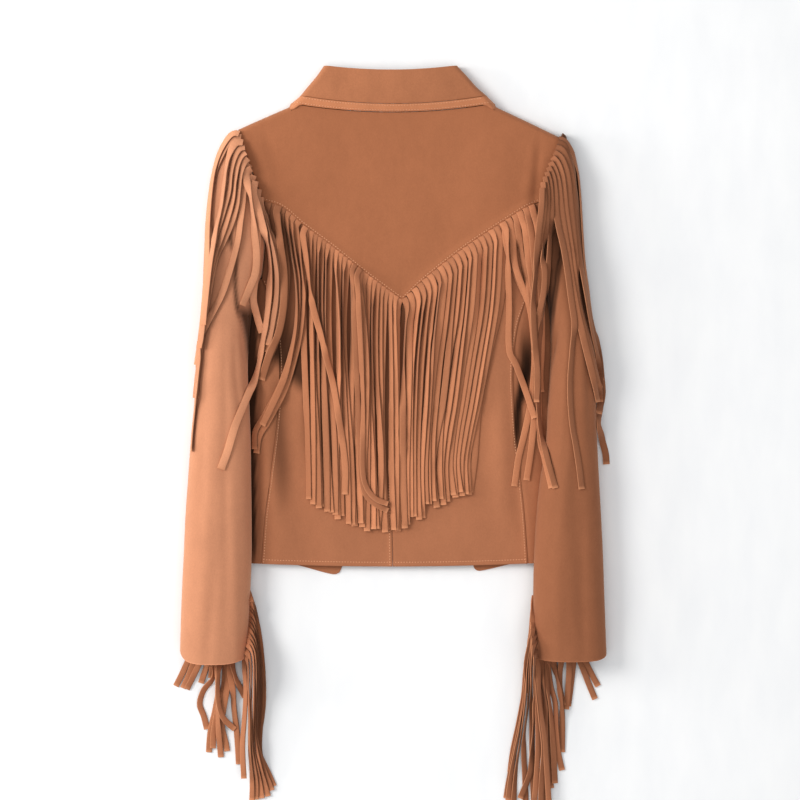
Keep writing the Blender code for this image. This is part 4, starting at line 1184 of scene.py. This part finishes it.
YOKE_SPECIAL_RIGHT = [
    [(134.5, 255.5), (134.5, 236.6), (136.9, 222.4), (145.1, 198.8), (154.6, 177.6), (162.8, 158.7),
     (167.6, 139.8), (169.9, 112.7), (171.1, 87.9)],
    [(141.6, 259), (142.8, 236.6), (145.1, 207.1), (153.4, 182.3), (161.7, 158.7), (166.4, 130.4),
     (168.7, 95), (165.2, 50.1), (156.9, 8.8), (149.9, -20.6), (145.1, -53.7)],
    [(148.7, 263.7), (149.9, 238.9), (154.6, 210.6), (161.7, 182.3), (166.4, 154), (168.7, 118.6),
     (169.9, 80.8), (168.7, 36), (165.2, -5.3), (159.3, -46.6)],
    [(154.6, 267.3), (156.9, 246), (160.5, 215.3), (165.2, 187), (168.7, 154), (171.1, 112.7),
     (171.1, 77.3), (172.3, 45.4)],
    [(161.7, 270.8), (164, 246), (167.6, 210.6), (171.1, 177.6), (173.5, 142.2), (173.5, 106.8),
     (173.5, 66.7), (174.6, 24.2), (177, -11.2), (186.4, -54.9)],
    [(168.7, 273.2), (171.1, 248.4), (173.5, 210.6), (175.8, 175.2), (177, 139.8), (177, 106.8),
     (175.8, 77.3), (177, 57.2)],
    [(134.5, 117.4), (139.2, 104.4), (146.3, 90.3), (154.6, 69), (161.7, 47.8), (168.7, 26.5)],
]
ARMHOLE_LEFT = [
    [(-178, 359.8), (-183.6, 361), (-190.4, 356.3), (-198.6, 343.5), (-204.4, 329.5), (-209.1, 309.8),
     (-212.6, 280.7), (-214.9, 245.7), (-214.9, 208.4), (-217.3, 175.9), (-219.8, 143.3),
     (-223.4, 111.9), (-226.8, 88.6)],
    [(-175.7, 355.1), (-183.2, 355.1), (-190.8, 349.3), (-197.7, 336.5), (-204.7, 320.2),
     (-209.4, 301.6), (-212.9, 274.8), (-212.9, 239.9), (-211.7, 208.4), (-214.1, 175.9),
     (-216.7, 143.3), (-221.3, 111.9), (-226.1, 73.5), (-228.3, 50.1)],
    [(-173.3, 349.3), (-180.8, 349.3), (-187, 341.1), (-191.6, 327.2), (-195.1, 303.9),
     (-198.7, 274.8), (-204.5, 248.1), (-207.9, 222.4), (-211.4, 196.8), (-214.9, 166.5),
     (-218.7, 135.2)],
    [(-171, 343.5), (-178, 341.1), (-183.8, 329.5), (-187.3, 313.2), (-189.6, 292.3), (-196.6, 266.6),
     (-204.8, 238.7), (-208.2, 216.6), (-211.8, 189.9), (-215.2, 164.2), (-220.2, 127),
     (-223.7, 108.4)],
    [(-169.9, 337.7), (-175.7, 333), (-180.3, 321.4), (-182.7, 303.9), (-185, 282.9), (-192, 257.4),
     (-201.2, 229.4), (-208.2, 206.2), (-212.9, 181.7), (-215.2, 157.2), (-219, 135.2)],
    [(-167.5, 330.7), (-172.1, 324.9), (-175.7, 310.9), (-178, 292.3), (-180.3, 273.6),
     (-187.3, 252.7), (-196.6, 231.7), (-206, 208.4), (-211.8, 178.1), (-216.4, 150.2)],
    [(-165.2, 323.7), (-169.9, 315.6), (-172.1, 300.4), (-173.3, 280.7), (-175.7, 256.2),
     (-179.1, 231.7), (-186.1, 205), (-195.4, 174.7), (-206, 152.6), (-216.1, 134), (-223.7, 115.4),
     (-224.9, 93.2), (-228.3, 47.8), (-231.9, 12.8), (-233.6, -11.7)],
    [(-162.9, 317.9), (-168.7, 313.2), (-167.5, 299.3), (-164, 285.3), (-161.7, 266.6),
     (-159.4, 243.4), (-157, 220.1), (-158.2, 196.8), (-165, 178), (-173, 158)],
    [(-160.5, 310.9), (-164, 299.3), (-161.7, 280.7), (-158.2, 257.4), (-155.9, 234.1),
     (-155.9, 208.4), (-159.4, 182.9), (-160.5, 163), (-157, 144), (-151.5, 127)],
    [(-158.2, 303.9), (-160.5, 289.9), (-155.9, 273.6), (-150, 250.4), (-144.2, 227.1),
     (-141.9, 203.8), (-143, 182.9), (-144.2, 161.9), (-146.8, 138.7), (-151.4, 113.1), (-154.9, 92.1),
     (-160.7, 69.9), (-168.9, 47.8), (-181.8, 15.2), (-189.9, -11.7), (-197.5, -32.6)],
    [(-154.7, 294.6), (-155.9, 280.7), (-150, 264.4), (-143, 243.4), (-137.2, 220.1), (-133.7, 193.3),
     (-134.9, 164.2), (-139.8, 135.2), (-144.4, 111.9)],
    [(-152.4, 285.3), (-151.2, 271.3), (-144.2, 251.5), (-136.1, 227.1), (-130.3, 199.2),
     (-127.9, 168.9), (-130.5, 143.3), (-135.1, 122.4), (-142.1, 103.7), (-149.1, 82.8)],
]
ARMHOLE_RIGHT = [
    [(196.9, 354), (203.9, 351.7), (212.1, 341.1), (216.7, 327.2), (220.2, 312), (221.9, 294.6),
     (223.1, 276), (224.8, 244.5), (227.2, 209.6), (231.8, 175.9), (235.7, 146.9), (241.5, 123.6),
     (246.1, 99.1), (248.4, 75.8), (249.6, 54.8), (246.1, 36.1), (243.8, 18.7), (248.4, 2.4),
     (253.1, -15.1), (254.2, -28)],
    [(195.7, 349.3), (202.7, 345.9), (209.7, 333), (214.3, 317.9), (216.7, 299.3), (219, 276),
     (221.4, 244.5), (223.7, 213.1), (228.4, 179.3), (234.5, 144.5), (240.3, 120), (244.9, 94.4),
     (247.3, 71.1)],
    [(193.4, 343.5), (200.4, 340.1), (206.3, 327.2), (210.9, 308.6), (213.2, 285.3), (215.5, 255),
     (219, 227.1), (222.5, 201.4), (227.2, 173.5), (232.1, 145.7), (236.7, 122.4), (242.6, 97.9),
     (246.1, 66.5), (247.3, 52.4), (243.8, 31.5)],
    [(191.1, 337.7), (198.1, 331.9), (203.9, 317.9), (207.3, 299.3), (209.7, 276), (212.1, 250.4),
     (214.3, 222.4), (216.7, 192.1), (220.2, 164.2), (226.3, 136.4), (233.3, 111.9), (239.1, 85),
     (244.9, 61.7)],
    [(188.8, 331.9), (194.6, 324.9), (199.3, 309.8), (201.5, 289.9), (203.9, 266.6), (207.3, 241.1),
     (210.9, 213.1), (214.3, 185.1), (217.9, 158.4), (224, 134), (230.9, 106.1), (237.9, 82.8),
     (243.8, 61.7), (246.1, 45.4)],
    [(186.4, 326), (191.1, 316.8), (194.6, 301.6), (196.9, 280.7), (199.3, 262), (202.7, 238.7),
     (206.3, 213.1), (210.9, 180.5), (217, 148.1), (224, 120), (229.8, 96.7), (236.7, 71.1),
     (242.6, 45.4)],
    [(184.1, 320.2), (188.8, 308.6), (191.1, 289.9), (192.2, 269), (195.7, 248.1), (200.4, 227.1),
     (205.1, 199.2), (209.7, 164.2), (213.4, 135.2), (211.2, 106.1), (208.8, 75.8), (208.8, 47.8),
     (211.2, 18.7), (215.3, -4.7), (219.3, -31.4), (222.2, -55.9)],
    [(181.8, 314.4), (185.2, 301.6), (186.4, 280.7), (186.4, 251.5), (185.2, 222.4), (183, 193.3),
     (180.6, 164.2), (176.2, 135.2), (172.6, 103.7), (172.6, 66.5), (173.8, 31.5), (177.4, 3.4),
     (182, -19.8), (191.3, -54.7)],
    [(179.4, 308.6), (181.8, 292.3), (181.8, 271.3), (180.6, 245.7), (177.1, 215.4), (179.4, 196.8),
     (178.2, 173.5), (173.6, 150.2), (169.2, 125.8), (166.8, 103.7)],
    [(177.1, 301.6), (178.2, 282.9), (177.1, 262), (173.6, 236.4), (170.1, 213.1), (167.8, 186.3),
     (166.6, 161.9), (165.7, 138.7), (166.8, 115.4)],
    [(176, 294.6), (174.8, 273.6), (172.4, 248.1), (170.1, 220.1), (169, 192.1), (166.6, 164.2),
     (166.8, 135.2), (169.2, 103.7), (171.5, 75.8), (170.3, 45.4)],
]
CUFF_LEFT_LOOSE = [
    [(-233.6, -250.8), (-239.5, -260.2), (-246.6, -275.5), (-253.7, -289.7)],
    [(-227.7, -251.9), (-232.5, -261.4), (-238.4, -276.7), (-245.4, -292.1)],
    [(-221.8, -253.1), (-226.6, -263.7), (-233.6, -279.1), (-240.7, -293.2)],
    [(-215.9, -253.1), (-217.1, -263.7), (-220.7, -275.5), (-224.2, -286.1)],
    [(-212.4, -253.1), (-211.2, -263.7), (-211.2, -272), (-212.4, -280.2)],
    [(-208.9, -254.3), (-207.7, -268.4), (-210, -281.4), (-220.7, -294.4), (-225.4, -310.9),
     (-220.7, -325.1), (-217.1, -340.4)],
    [(-203, -254.3), (-204.1, -276.7), (-205.3, -300.3), (-210, -327.4), (-213.6, -348.7),
     (-214.8, -367.6)],
    [(-194.7, -253.1), (-195.9, -273.2), (-198.2, -294.4), (-204.1, -318), (-208.9, -344),
     (-210, -362.8)],
    [(-191.2, -253.1), (-192.3, -273.2), (-193.5, -294.4), (-197.1, -315.6), (-199.4, -335.7),
     (-194.7, -358.1), (-193.5, -366.4)],
    [(-203, -254.3), (-205.6, -280), (-205.3, -306.2), (-204.1, -323.9), (-203, -344),
     (-200.6, -373.5)],
    [(-186.4, -253.1), (-190, -268.4), (-186.4, -292.1), (-185.3, -315.6), (-181.7, -347.5),
     (-179.4, -381.7)],
    [(-188.8, -253.1), (-184.1, -273.2), (-178.2, -289.7), (-172.3, -302.7)],
    [(-200.6, -254.3), (-203, -280.2), (-203, -301.5), (-199.4, -320.4), (-192.3, -332.2),
     (-184.1, -340.4)],
]
CUFF_LEFT_HUNG = [
    [(-172, -251.9), (-172.3, -268.4), (-171.1, -294.4), (-172.3, -323.9), (-174.6, -359.3),
     (-172.9, -397.1)],
    [(-171.7, -247.2), (-167.6, -263.7), (-167.6, -294.4), (-166.5, -329.8), (-166.5, -365.2),
     (-164, -403), (-164, -424.2)],
    [(-171.4, -241.3), (-164.6, -259), (-164.6, -294.4), (-164.6, -332.2), (-163.6, -365.2),
     (-159.3, -398.2), (-159.3, -423)],
    [(-171.1, -235.4), (-161.8, -249.6), (-160.8, -282.6), (-161.8, -320.4), (-162.8, -355.8),
     (-156.9, -391.2), (-152.2, -421.8)],
    [(-170.8, -229.5), (-159.9, -244.8), (-158, -277.9), (-159.9, -315.6), (-159.9, -351),
     (-153.4, -386.4), (-145.1, -419.5)],
    [(-170.5, -223.6), (-159.9, -237.8), (-156.1, -264.9), (-157.1, -306.2), (-158, -347.5),
     (-151, -382.9), (-140.4, -412.4)],
    [(-170.2, -217.7), (-159.9, -230.7), (-155.2, -259), (-155.2, -300.3), (-157.1, -341.6),
     (-155.2, -367.6), (-145.1, -391.2), (-138.1, -407.7)],
    [(-169.9, -211.8), (-160.8, -223.6), (-155.2, -249.6), (-153.3, -287.3), (-155.2, -325.1),
     (-156.1, -353.4), (-155.2, -373.5)],
    [(-169.6, -205.9), (-160.8, -216.5), (-155.2, -241.3), (-151.4, -277.9), (-151.4, -306.2),
     (-154.2, -335.7), (-155.2, -365.2), (-149.9, -388.8)],
    [(-169.3, -200), (-160.8, -209.4), (-156.1, -235.4), (-152.4, -268.4), (-150.4, -300.3),
     (-152.4, -325.1), (-155.2, -341.6)],
    [(-168.9, -192.9), (-161.8, -203.5), (-157.1, -228.3), (-153.3, -259), (-151.4, -287.3),
     (-152.4, -310.9)],
    [(-168.5, -184.5), (-163, -194), (-158, -214), (-154, -240), (-151.5, -268), (-150.5, -296)],
    [(-168, -177), (-164, -187), (-159.5, -206), (-155.5, -232), (-152.5, -258), (-151, -280)],
]
CUFF_RIGHT_LOOSE = [
    [(226.6, -253.1), (230.1, -262.6), (237.2, -276.7), (244.3, -289.7)],
    [(219.5, -253.1), (224.2, -263.7), (232.5, -285), (240.7, -305)],
    [(215.9, -253.1), (214.8, -266.1), (212.4, -287.3), (208.9, -313.3)],
    [(210, -253.1), (210, -268.4), (208.9, -292.1), (206.5, -316.8)],
    [(201.8, -254.3), (199.4, -273.2), (199.4, -294.4), (203, -312.1)],
    [(191.2, -254.3), (192.3, -268.4), (197.1, -287.3), (200.6, -308.6), (201.8, -338.1),
     (201.8, -367.6)],
    [(184.1, -254.3), (185.3, -270.8), (188.8, -292.1), (193.5, -310.9), (194.7, -341.6),
     (197.1, -367.6), (201.8, -388.8)],
    [(175, -255), (177, -280), (179.5, -318), (178.5, -352), (181, -392), (180.5, -418)],
    [(181.5, -255), (183.5, -285), (186, -320), (186.5, -352), (186, -388), (189, -410)],
    [(179.4, -255.5), (180.5, -273.2), (185.3, -296.8), (188.8, -320.4), (191.2, -358.1),
     (193.5, -404.1)],
    [(177, -255.5), (178.2, -282.6), (181.7, -312.1), (181.7, -347.5), (182.9, -388.8),
     (182.9, -431.3)],
]
CUFF_RIGHT_HUNG = [
    [(169.9, -251.9), (173.5, -268.4), (174.6, -306.2), (180.5, -347.5), (182.9, -379.4),
     (186.4, -438.4)],
    [(169.3, -244.8), (169.9, -263.7), (172.3, -294.4), (175.8, -327.4), (179.4, -362.8),
     (177, -400.6), (175.8, -437.2)],
    [(169.3, -241), (170.3, -262), (172, -300), (173, -336), (172.5, -372), (170, -408), (168, -432)],
    [(169.3, -237.8), (167.6, -256.6), (168.7, -294.4), (168.7, -332.2), (166.4, -362.8),
     (164, -391.2), (152.2, -421.8)],
    [(169.3, -230.7), (165.2, -249.6), (165.2, -287.3), (166.4, -325.1), (166.4, -362.8),
     (167.6, -403), (168.7, -438.4)],
    [(169.3, -223.6), (164, -244.8), (162.8, -277.9), (161.7, -313.3), (156.9, -355.8),
     (158.1, -398.2), (159.3, -438.4)],
    [(169.3, -217.7), (164, -237.8), (160.5, -268.4), (158.1, -306.2), (153.4, -348.7),
     (147.5, -391.2), (144, -436)],
    [(169.3, -211.8), (164, -230.7), (159.3, -261.4), (158.1, -296.8), (151, -341.6), (142.8, -386.4),
     (138.1, -424.2)],
    [(169.3, -204.7), (165.2, -223.6), (161.7, -249.6), (159.3, -277.9), (155.8, -313.3),
     (147.5, -358.1), (139.2, -400.6), (135.7, -421.8)],
    [(169.3, -197.6), (166.4, -214.2), (164, -241.3), (159.3, -268.4), (156.9, -299.1), (151, -332.2),
     (144, -365.2), (140.4, -391.2)],
    [(169.2, -190), (166.8, -205), (165, -228), (163, -252), (161, -276), (159.5, -298)],
    [(168.8, -182), (166.6, -196), (165.2, -216), (164, -236), (162.8, -256)],
]
ENDS_LEFT = [(-96.8, -71.4), (-88.5, -74.9), (-79.1, -79.6), (-72, -84.4), (-63.7, -89.1),
    (-46, -96.2), (-35.4, -99.7), (-27.1, -104.4), (-20.1, -105.6), (-13, -105.6), (-7.1, -106.8),
    (0, -105.6), (5.9, -105.6), (10.6, -103.2)]
ENDS_RIGHT = [(15.3, -102.1), (17.7, -98.5), (22.4, -91.4), (28.3, -90.3), (33, -91.4), (37.8, -87.9),
    (42.5, -76.1), (46, -73.8), (49.6, -70.2), (54.3, -78.5), (59, -69), (62.5, -73.8), (67.3, -69),
    (72, -65.5), (76.7, -69), (80.2, -63.1), (83.8, -66.7), (87.3, -63.1), (90.9, -60.8), (94.4, -63.1)]


OFF_SEAM, ROOT_TUCK = 6.0, 0.5      # how far a strip stands out before it falls, and is tucked in


def leaving(x, out, fall):
    """From the V seam at x, square off it for a little, then curving round to fall."""
    y = float(v_seam_y(np.array(x)))
    slope = float(v_seam_y(np.array(x + 0.5)) - v_seam_y(np.array(x - 0.5)))
    away = np.array([slope, -1.0]) / math.hypot(slope, 1.0)
    start = np.array([x, y]) - away * ROOT_TUCK
    knee = start + away * out
    last = knee + np.array(fall)
    t = np.linspace(0, 1, 5)[:, None]
    return list((1 - t) ** 2 * start + 2 * t * (1 - t) * knee + t ** 2 * last)


def from_seam(route, shift, fall):
    """A strip's own line, begun square off the V seam a little to one side of its root."""
    return leaving(route[0][0] + shift, OFF_SEAM, (0.0, fall)) + route[1:]


def at_seam(line):
    """Beside the seam a strip lies on the lower back itself, tucked in under the yoke's edge."""
    below = v_seam_y(line[:, 0]) - line[:, 1]
    return np.where(below < 7.0, back_height(line[:, 0], line[:, 1], LOWER_CREASES), np.nan)


yoke_left, yoke_right = Fringe(), Fringe()
tilt_random = np.random.default_rng(3)


def some_tilt():
    """Most strips stay rather flat; about one in four stands on edge."""
    return tilt_random.uniform(58, 74) if tilt_random.random() < 0.25 else tilt_random.uniform(14, 38)


def tilts(first, calm, sign=1):
    """How a strip rolls: flat out of the seam, up on edge, then down nearly flat."""
    up = sign * first * tilt_random.uniform(0.75, 1.1)
    rest = tilt_random.uniform(-0.5, 1.0) * sign * calm
    knee = tilt_random.uniform(0.07, 0.15)
    low = tilt_random.uniform(0.38, 0.6)
    return [(0.0, 0.0), (0.03, sign * 8.0), (knee, up), (mix(knee, low, 0.45), up * 0.85),
            (low, mix(up, rest, 0.7)), (low + 0.2, rest), (1.0, rest * 0.4)]


LEFT_COUNT = 23
left_tops = np.linspace(-98, 11.0, LEFT_COUNT)
left_x, left_y = np.array(sorted(ENDS_LEFT)).T
for number in range(LEFT_COUNT - 1, -1, -1):
    x, tone = left_tops[number], float(shades(1)[0])
    end_x = mix(left_x[0], left_x[-1], number / (LEFT_COUNT - 1)) + tilt_random.uniform(-3, 3)
    end_y = float(np.interp(end_x, left_x, left_y)) + tilt_random.uniform(-4, 4)
    sign = 1 if tilt_random.random() < 0.8 else -1
    points = leaving(x, OFF_SEAM, (tilt_random.uniform(-1, 1), -12.0))
    past, bend, wave = points[-1], tilt_random.normal(0, 2.6), tilt_random.normal(0, 1.4)
    for share in (0.18, 0.36, 0.54, 0.72, 0.88):
        points.append((mix(past[0], end_x, ease(np.array(share))) + bend * math.sin(math.pi * share)
                       + wave * math.sin(2 * math.pi * share), mix(past[1], end_y, share)))
    points.append((end_x, end_y))
    yoke_left.lay(points, tilts(some_tilt(), 12, sign), tone=tone * 1.07, floor=at_seam)
# These swept strips are darkened with painted shade, most the outer ones, which lie in the shade of the
# armhole's strips.
for number, tone in zip((6, 5, 4, 3, 1, 0), shades(6)):
    yoke_left.lay(from_seam(YOKE_SWEPT_LEFT[number], 4.0, -4.0), tilts(50, 12),
                  tone=tone * (0.78 if number < 4 else 0.92), floor=at_seam)
for route, tone, up, width, shade in zip(YOKE_SPECIAL_LEFT, shades(3), (40, 54, 54), (STRIP, 6.4, 6.4),
                                         (1.0, 0.93, 0.93)):
    yoke_left.lay(from_seam(route, 4.0, -6.0), tilts(up, 18), width, tone * shade, at_seam)

# On the right they fan out from upright at the tip to the slant of the outermost strip.
PLUMB = [(17, 130), (15, 94), (14, 45), (14, 9), (14.5, -40)]
SLANTED = [(129.8, 165.8), (117, 94), (107, 45), (99, 9), (94, -23)]
right_tops = np.linspace(15.5, 129, 20)
for x, end, tone in zip(right_tops[::-1], sorted(ENDS_RIGHT)[::-1], shades(20)):
    sign = 1 if tilt_random.random() < 0.75 else -1
    share = (x - 16) / 113
    points = leaving(x, mix(5.0, 9.0, min((x - 15.5) / 30, 1.0)), (0.0, -12.0))
    past = points[-1]
    wander, wave = tilt_random.normal(0, 2.4), tilt_random.uniform(0.5, 1.2)
    for k, (a, b) in enumerate(zip(PLUMB, SLANTED)):
        y = mix(a[1], b[1], share)
        if y < past[1] - 12:
            points.append((mix(a[0], b[0], share) + wander * math.sin(k * wave), y))
    points.append((end[0] + tilt_random.uniform(-1.5, 1.5), end[1] + tilt_random.uniform(-3, 3)))
    yoke_right.lay(points, tilts(some_tilt(), 14, sign), tone=tone, floor=at_seam)
for route, tone in zip(YOKE_SPECIAL_RIGHT[:-1], shades(6)):
    yoke_right.lay(from_seam(route, -4.0, -4.0), tilts(45, 14), tone=tone, floor=at_seam)
crossing = leaving(131.0, OFF_SEAM, (1.0, -8.0)) + [(137.0, 200), (138.5, 160), (138.0, 128)]
yoke_right.lay(crossing + YOKE_SPECIAL_RIGHT[-1][1:], tilts(40, 10), floor=at_seam)

armhole_left, armhole_right = Fringe(), Fringe()
# Painted light and shade: the strips over the left sleeve are made paler, as if lit, and those over the
# right darker, as if in shade.
LEFT_PAINTED_LIGHT, RIGHT_PAINTED_SHADE = 1.12, 0.66
left_shades = shades(12)


def over_left_sleeve(number, first, low=4.0, width=8.8):
    armhole_left.lay(ARMHOLE_LEFT[number],
                     [(0, 0), (0.06, 10), (0.2, first), (0.45, first * 0.5), (0.7, 12), (1, low)],
                     width=width, tone=left_shades[number] * LEFT_PAINTED_LIGHT)


# One swept strip of the yoke lies among those of the armhole, so it is laid between them.
for number in (11, 10, 8):
    over_left_sleeve(number, 38)
# This strip is darkened with painted shade.
yoke_left.lay(from_seam(YOKE_SWEPT_LEFT[2], 4.0, -4.0), tilts(40, 8), width=8.4, tone=0.74, floor=at_seam)
over_left_sleeve(9, 30, width=9.4)
over_left_sleeve(1, 24, width=9.8)
over_left_sleeve(0, 24, width=9.8)
over_left_sleeve(6, 34, low=74)
over_left_sleeve(7, 30)
for number in (5, 4, 3, 2):
    over_left_sleeve(number, tilt_random.uniform(24, 40))
for number, tone in enumerate(shades(11)):
    up = -tilt_random.uniform(40, 70)
    armhole_right.lay(ARMHOLE_RIGHT[number],
                      [(0, 0), (0.06, -12), (0.2, up), (0.45, up * 0.75), (0.75, -20), (1, -6)],
                      width=tilt_random.uniform(6.6, 8.0), tone=tone * RIGHT_PAINTED_SHADE)
armhole_strips_left = armhole_left.piece("armhole_strips_left", "armhole_fringe_left", lit_strip_suede)
armhole_strips_right = armhole_right.piece("armhole_strips_right", "armhole_fringe_right", strip_suede)
yoke_strips_left = yoke_left.piece("yoke_strips_left", "yoke_fringe_left", strip_suede)
yoke_strips_right = yoke_right.piece("yoke_strips_right", "yoke_fringe_right", strip_suede)

cuff_left, cuff_right = Fringe(), Fringe()


def sleeve_floor(line):
    """Inside the cuff a strip lies on the sleeve's lower wall; past it, on what is there."""
    return np.where(line[:, 1] > -268, 2.2 * ease((line[:, 1] + 276) / 12), np.nan)


def in_cuff_seam(side):
    """At its root a hung strip comes out of the sleeve's seam, under the sleeve's edge."""
    rows = SLEEVES[side]

    def floor(line):
        edge = np.interp(line[:, 1], [row.y for row in rows], [row.inner for row in rows])
        inward = (edge - line[:, 0]) * (1 if side == "left" else -1)
        return np.where(inward > -1.2, 11.5, np.nan)

    return floor


# Each cuff's strips are darkened with painted shade, the right cuff's most, away from the light.
for fringe, loose, hung, sign, shade in ((cuff_left, CUFF_LEFT_LOOSE, CUFF_LEFT_HUNG, 1, 0.88),
                                         (cuff_right, CUFF_RIGHT_LOOSE, CUFF_RIGHT_HUNG, -1, 0.74)):
    for number, (route, tone) in enumerate(zip(loose, shades(len(loose)))):
        up = tilt_random.choice([-1, 1]) * tilt_random.uniform(15, 60) * (0.3 if number < 3 else 1.0)
        fringe.lay(route, [(0, 0), (0.25, up), (0.6, up * 0.7), (0.8, up * 0.2), (1, 0)], width=7.0,
                   tone=tone * shade, floor=sleeve_floor)
    for route, tone in zip(hung[::-1], shades(len(hung))):
        up = tilt_random.uniform(28, 62)
        fringe.lay(route, [(0, 0), (0.08, sign * 30), (0.22, sign * up), (0.6, sign * up * 0.75),
                           (0.85, sign * 12), (1, 4)], width=6.6, tone=tone * shade, hang=13.0,
                   floor=in_cuff_seam("left" if sign > 0 else "right"))
cuff_strips_left = cuff_left.piece("cuff_strips_left", "cuff_fringe_left", strip_suede)
cuff_strips_right = cuff_right.piece("cuff_strips_right", "cuff_fringe_right", strip_suede)
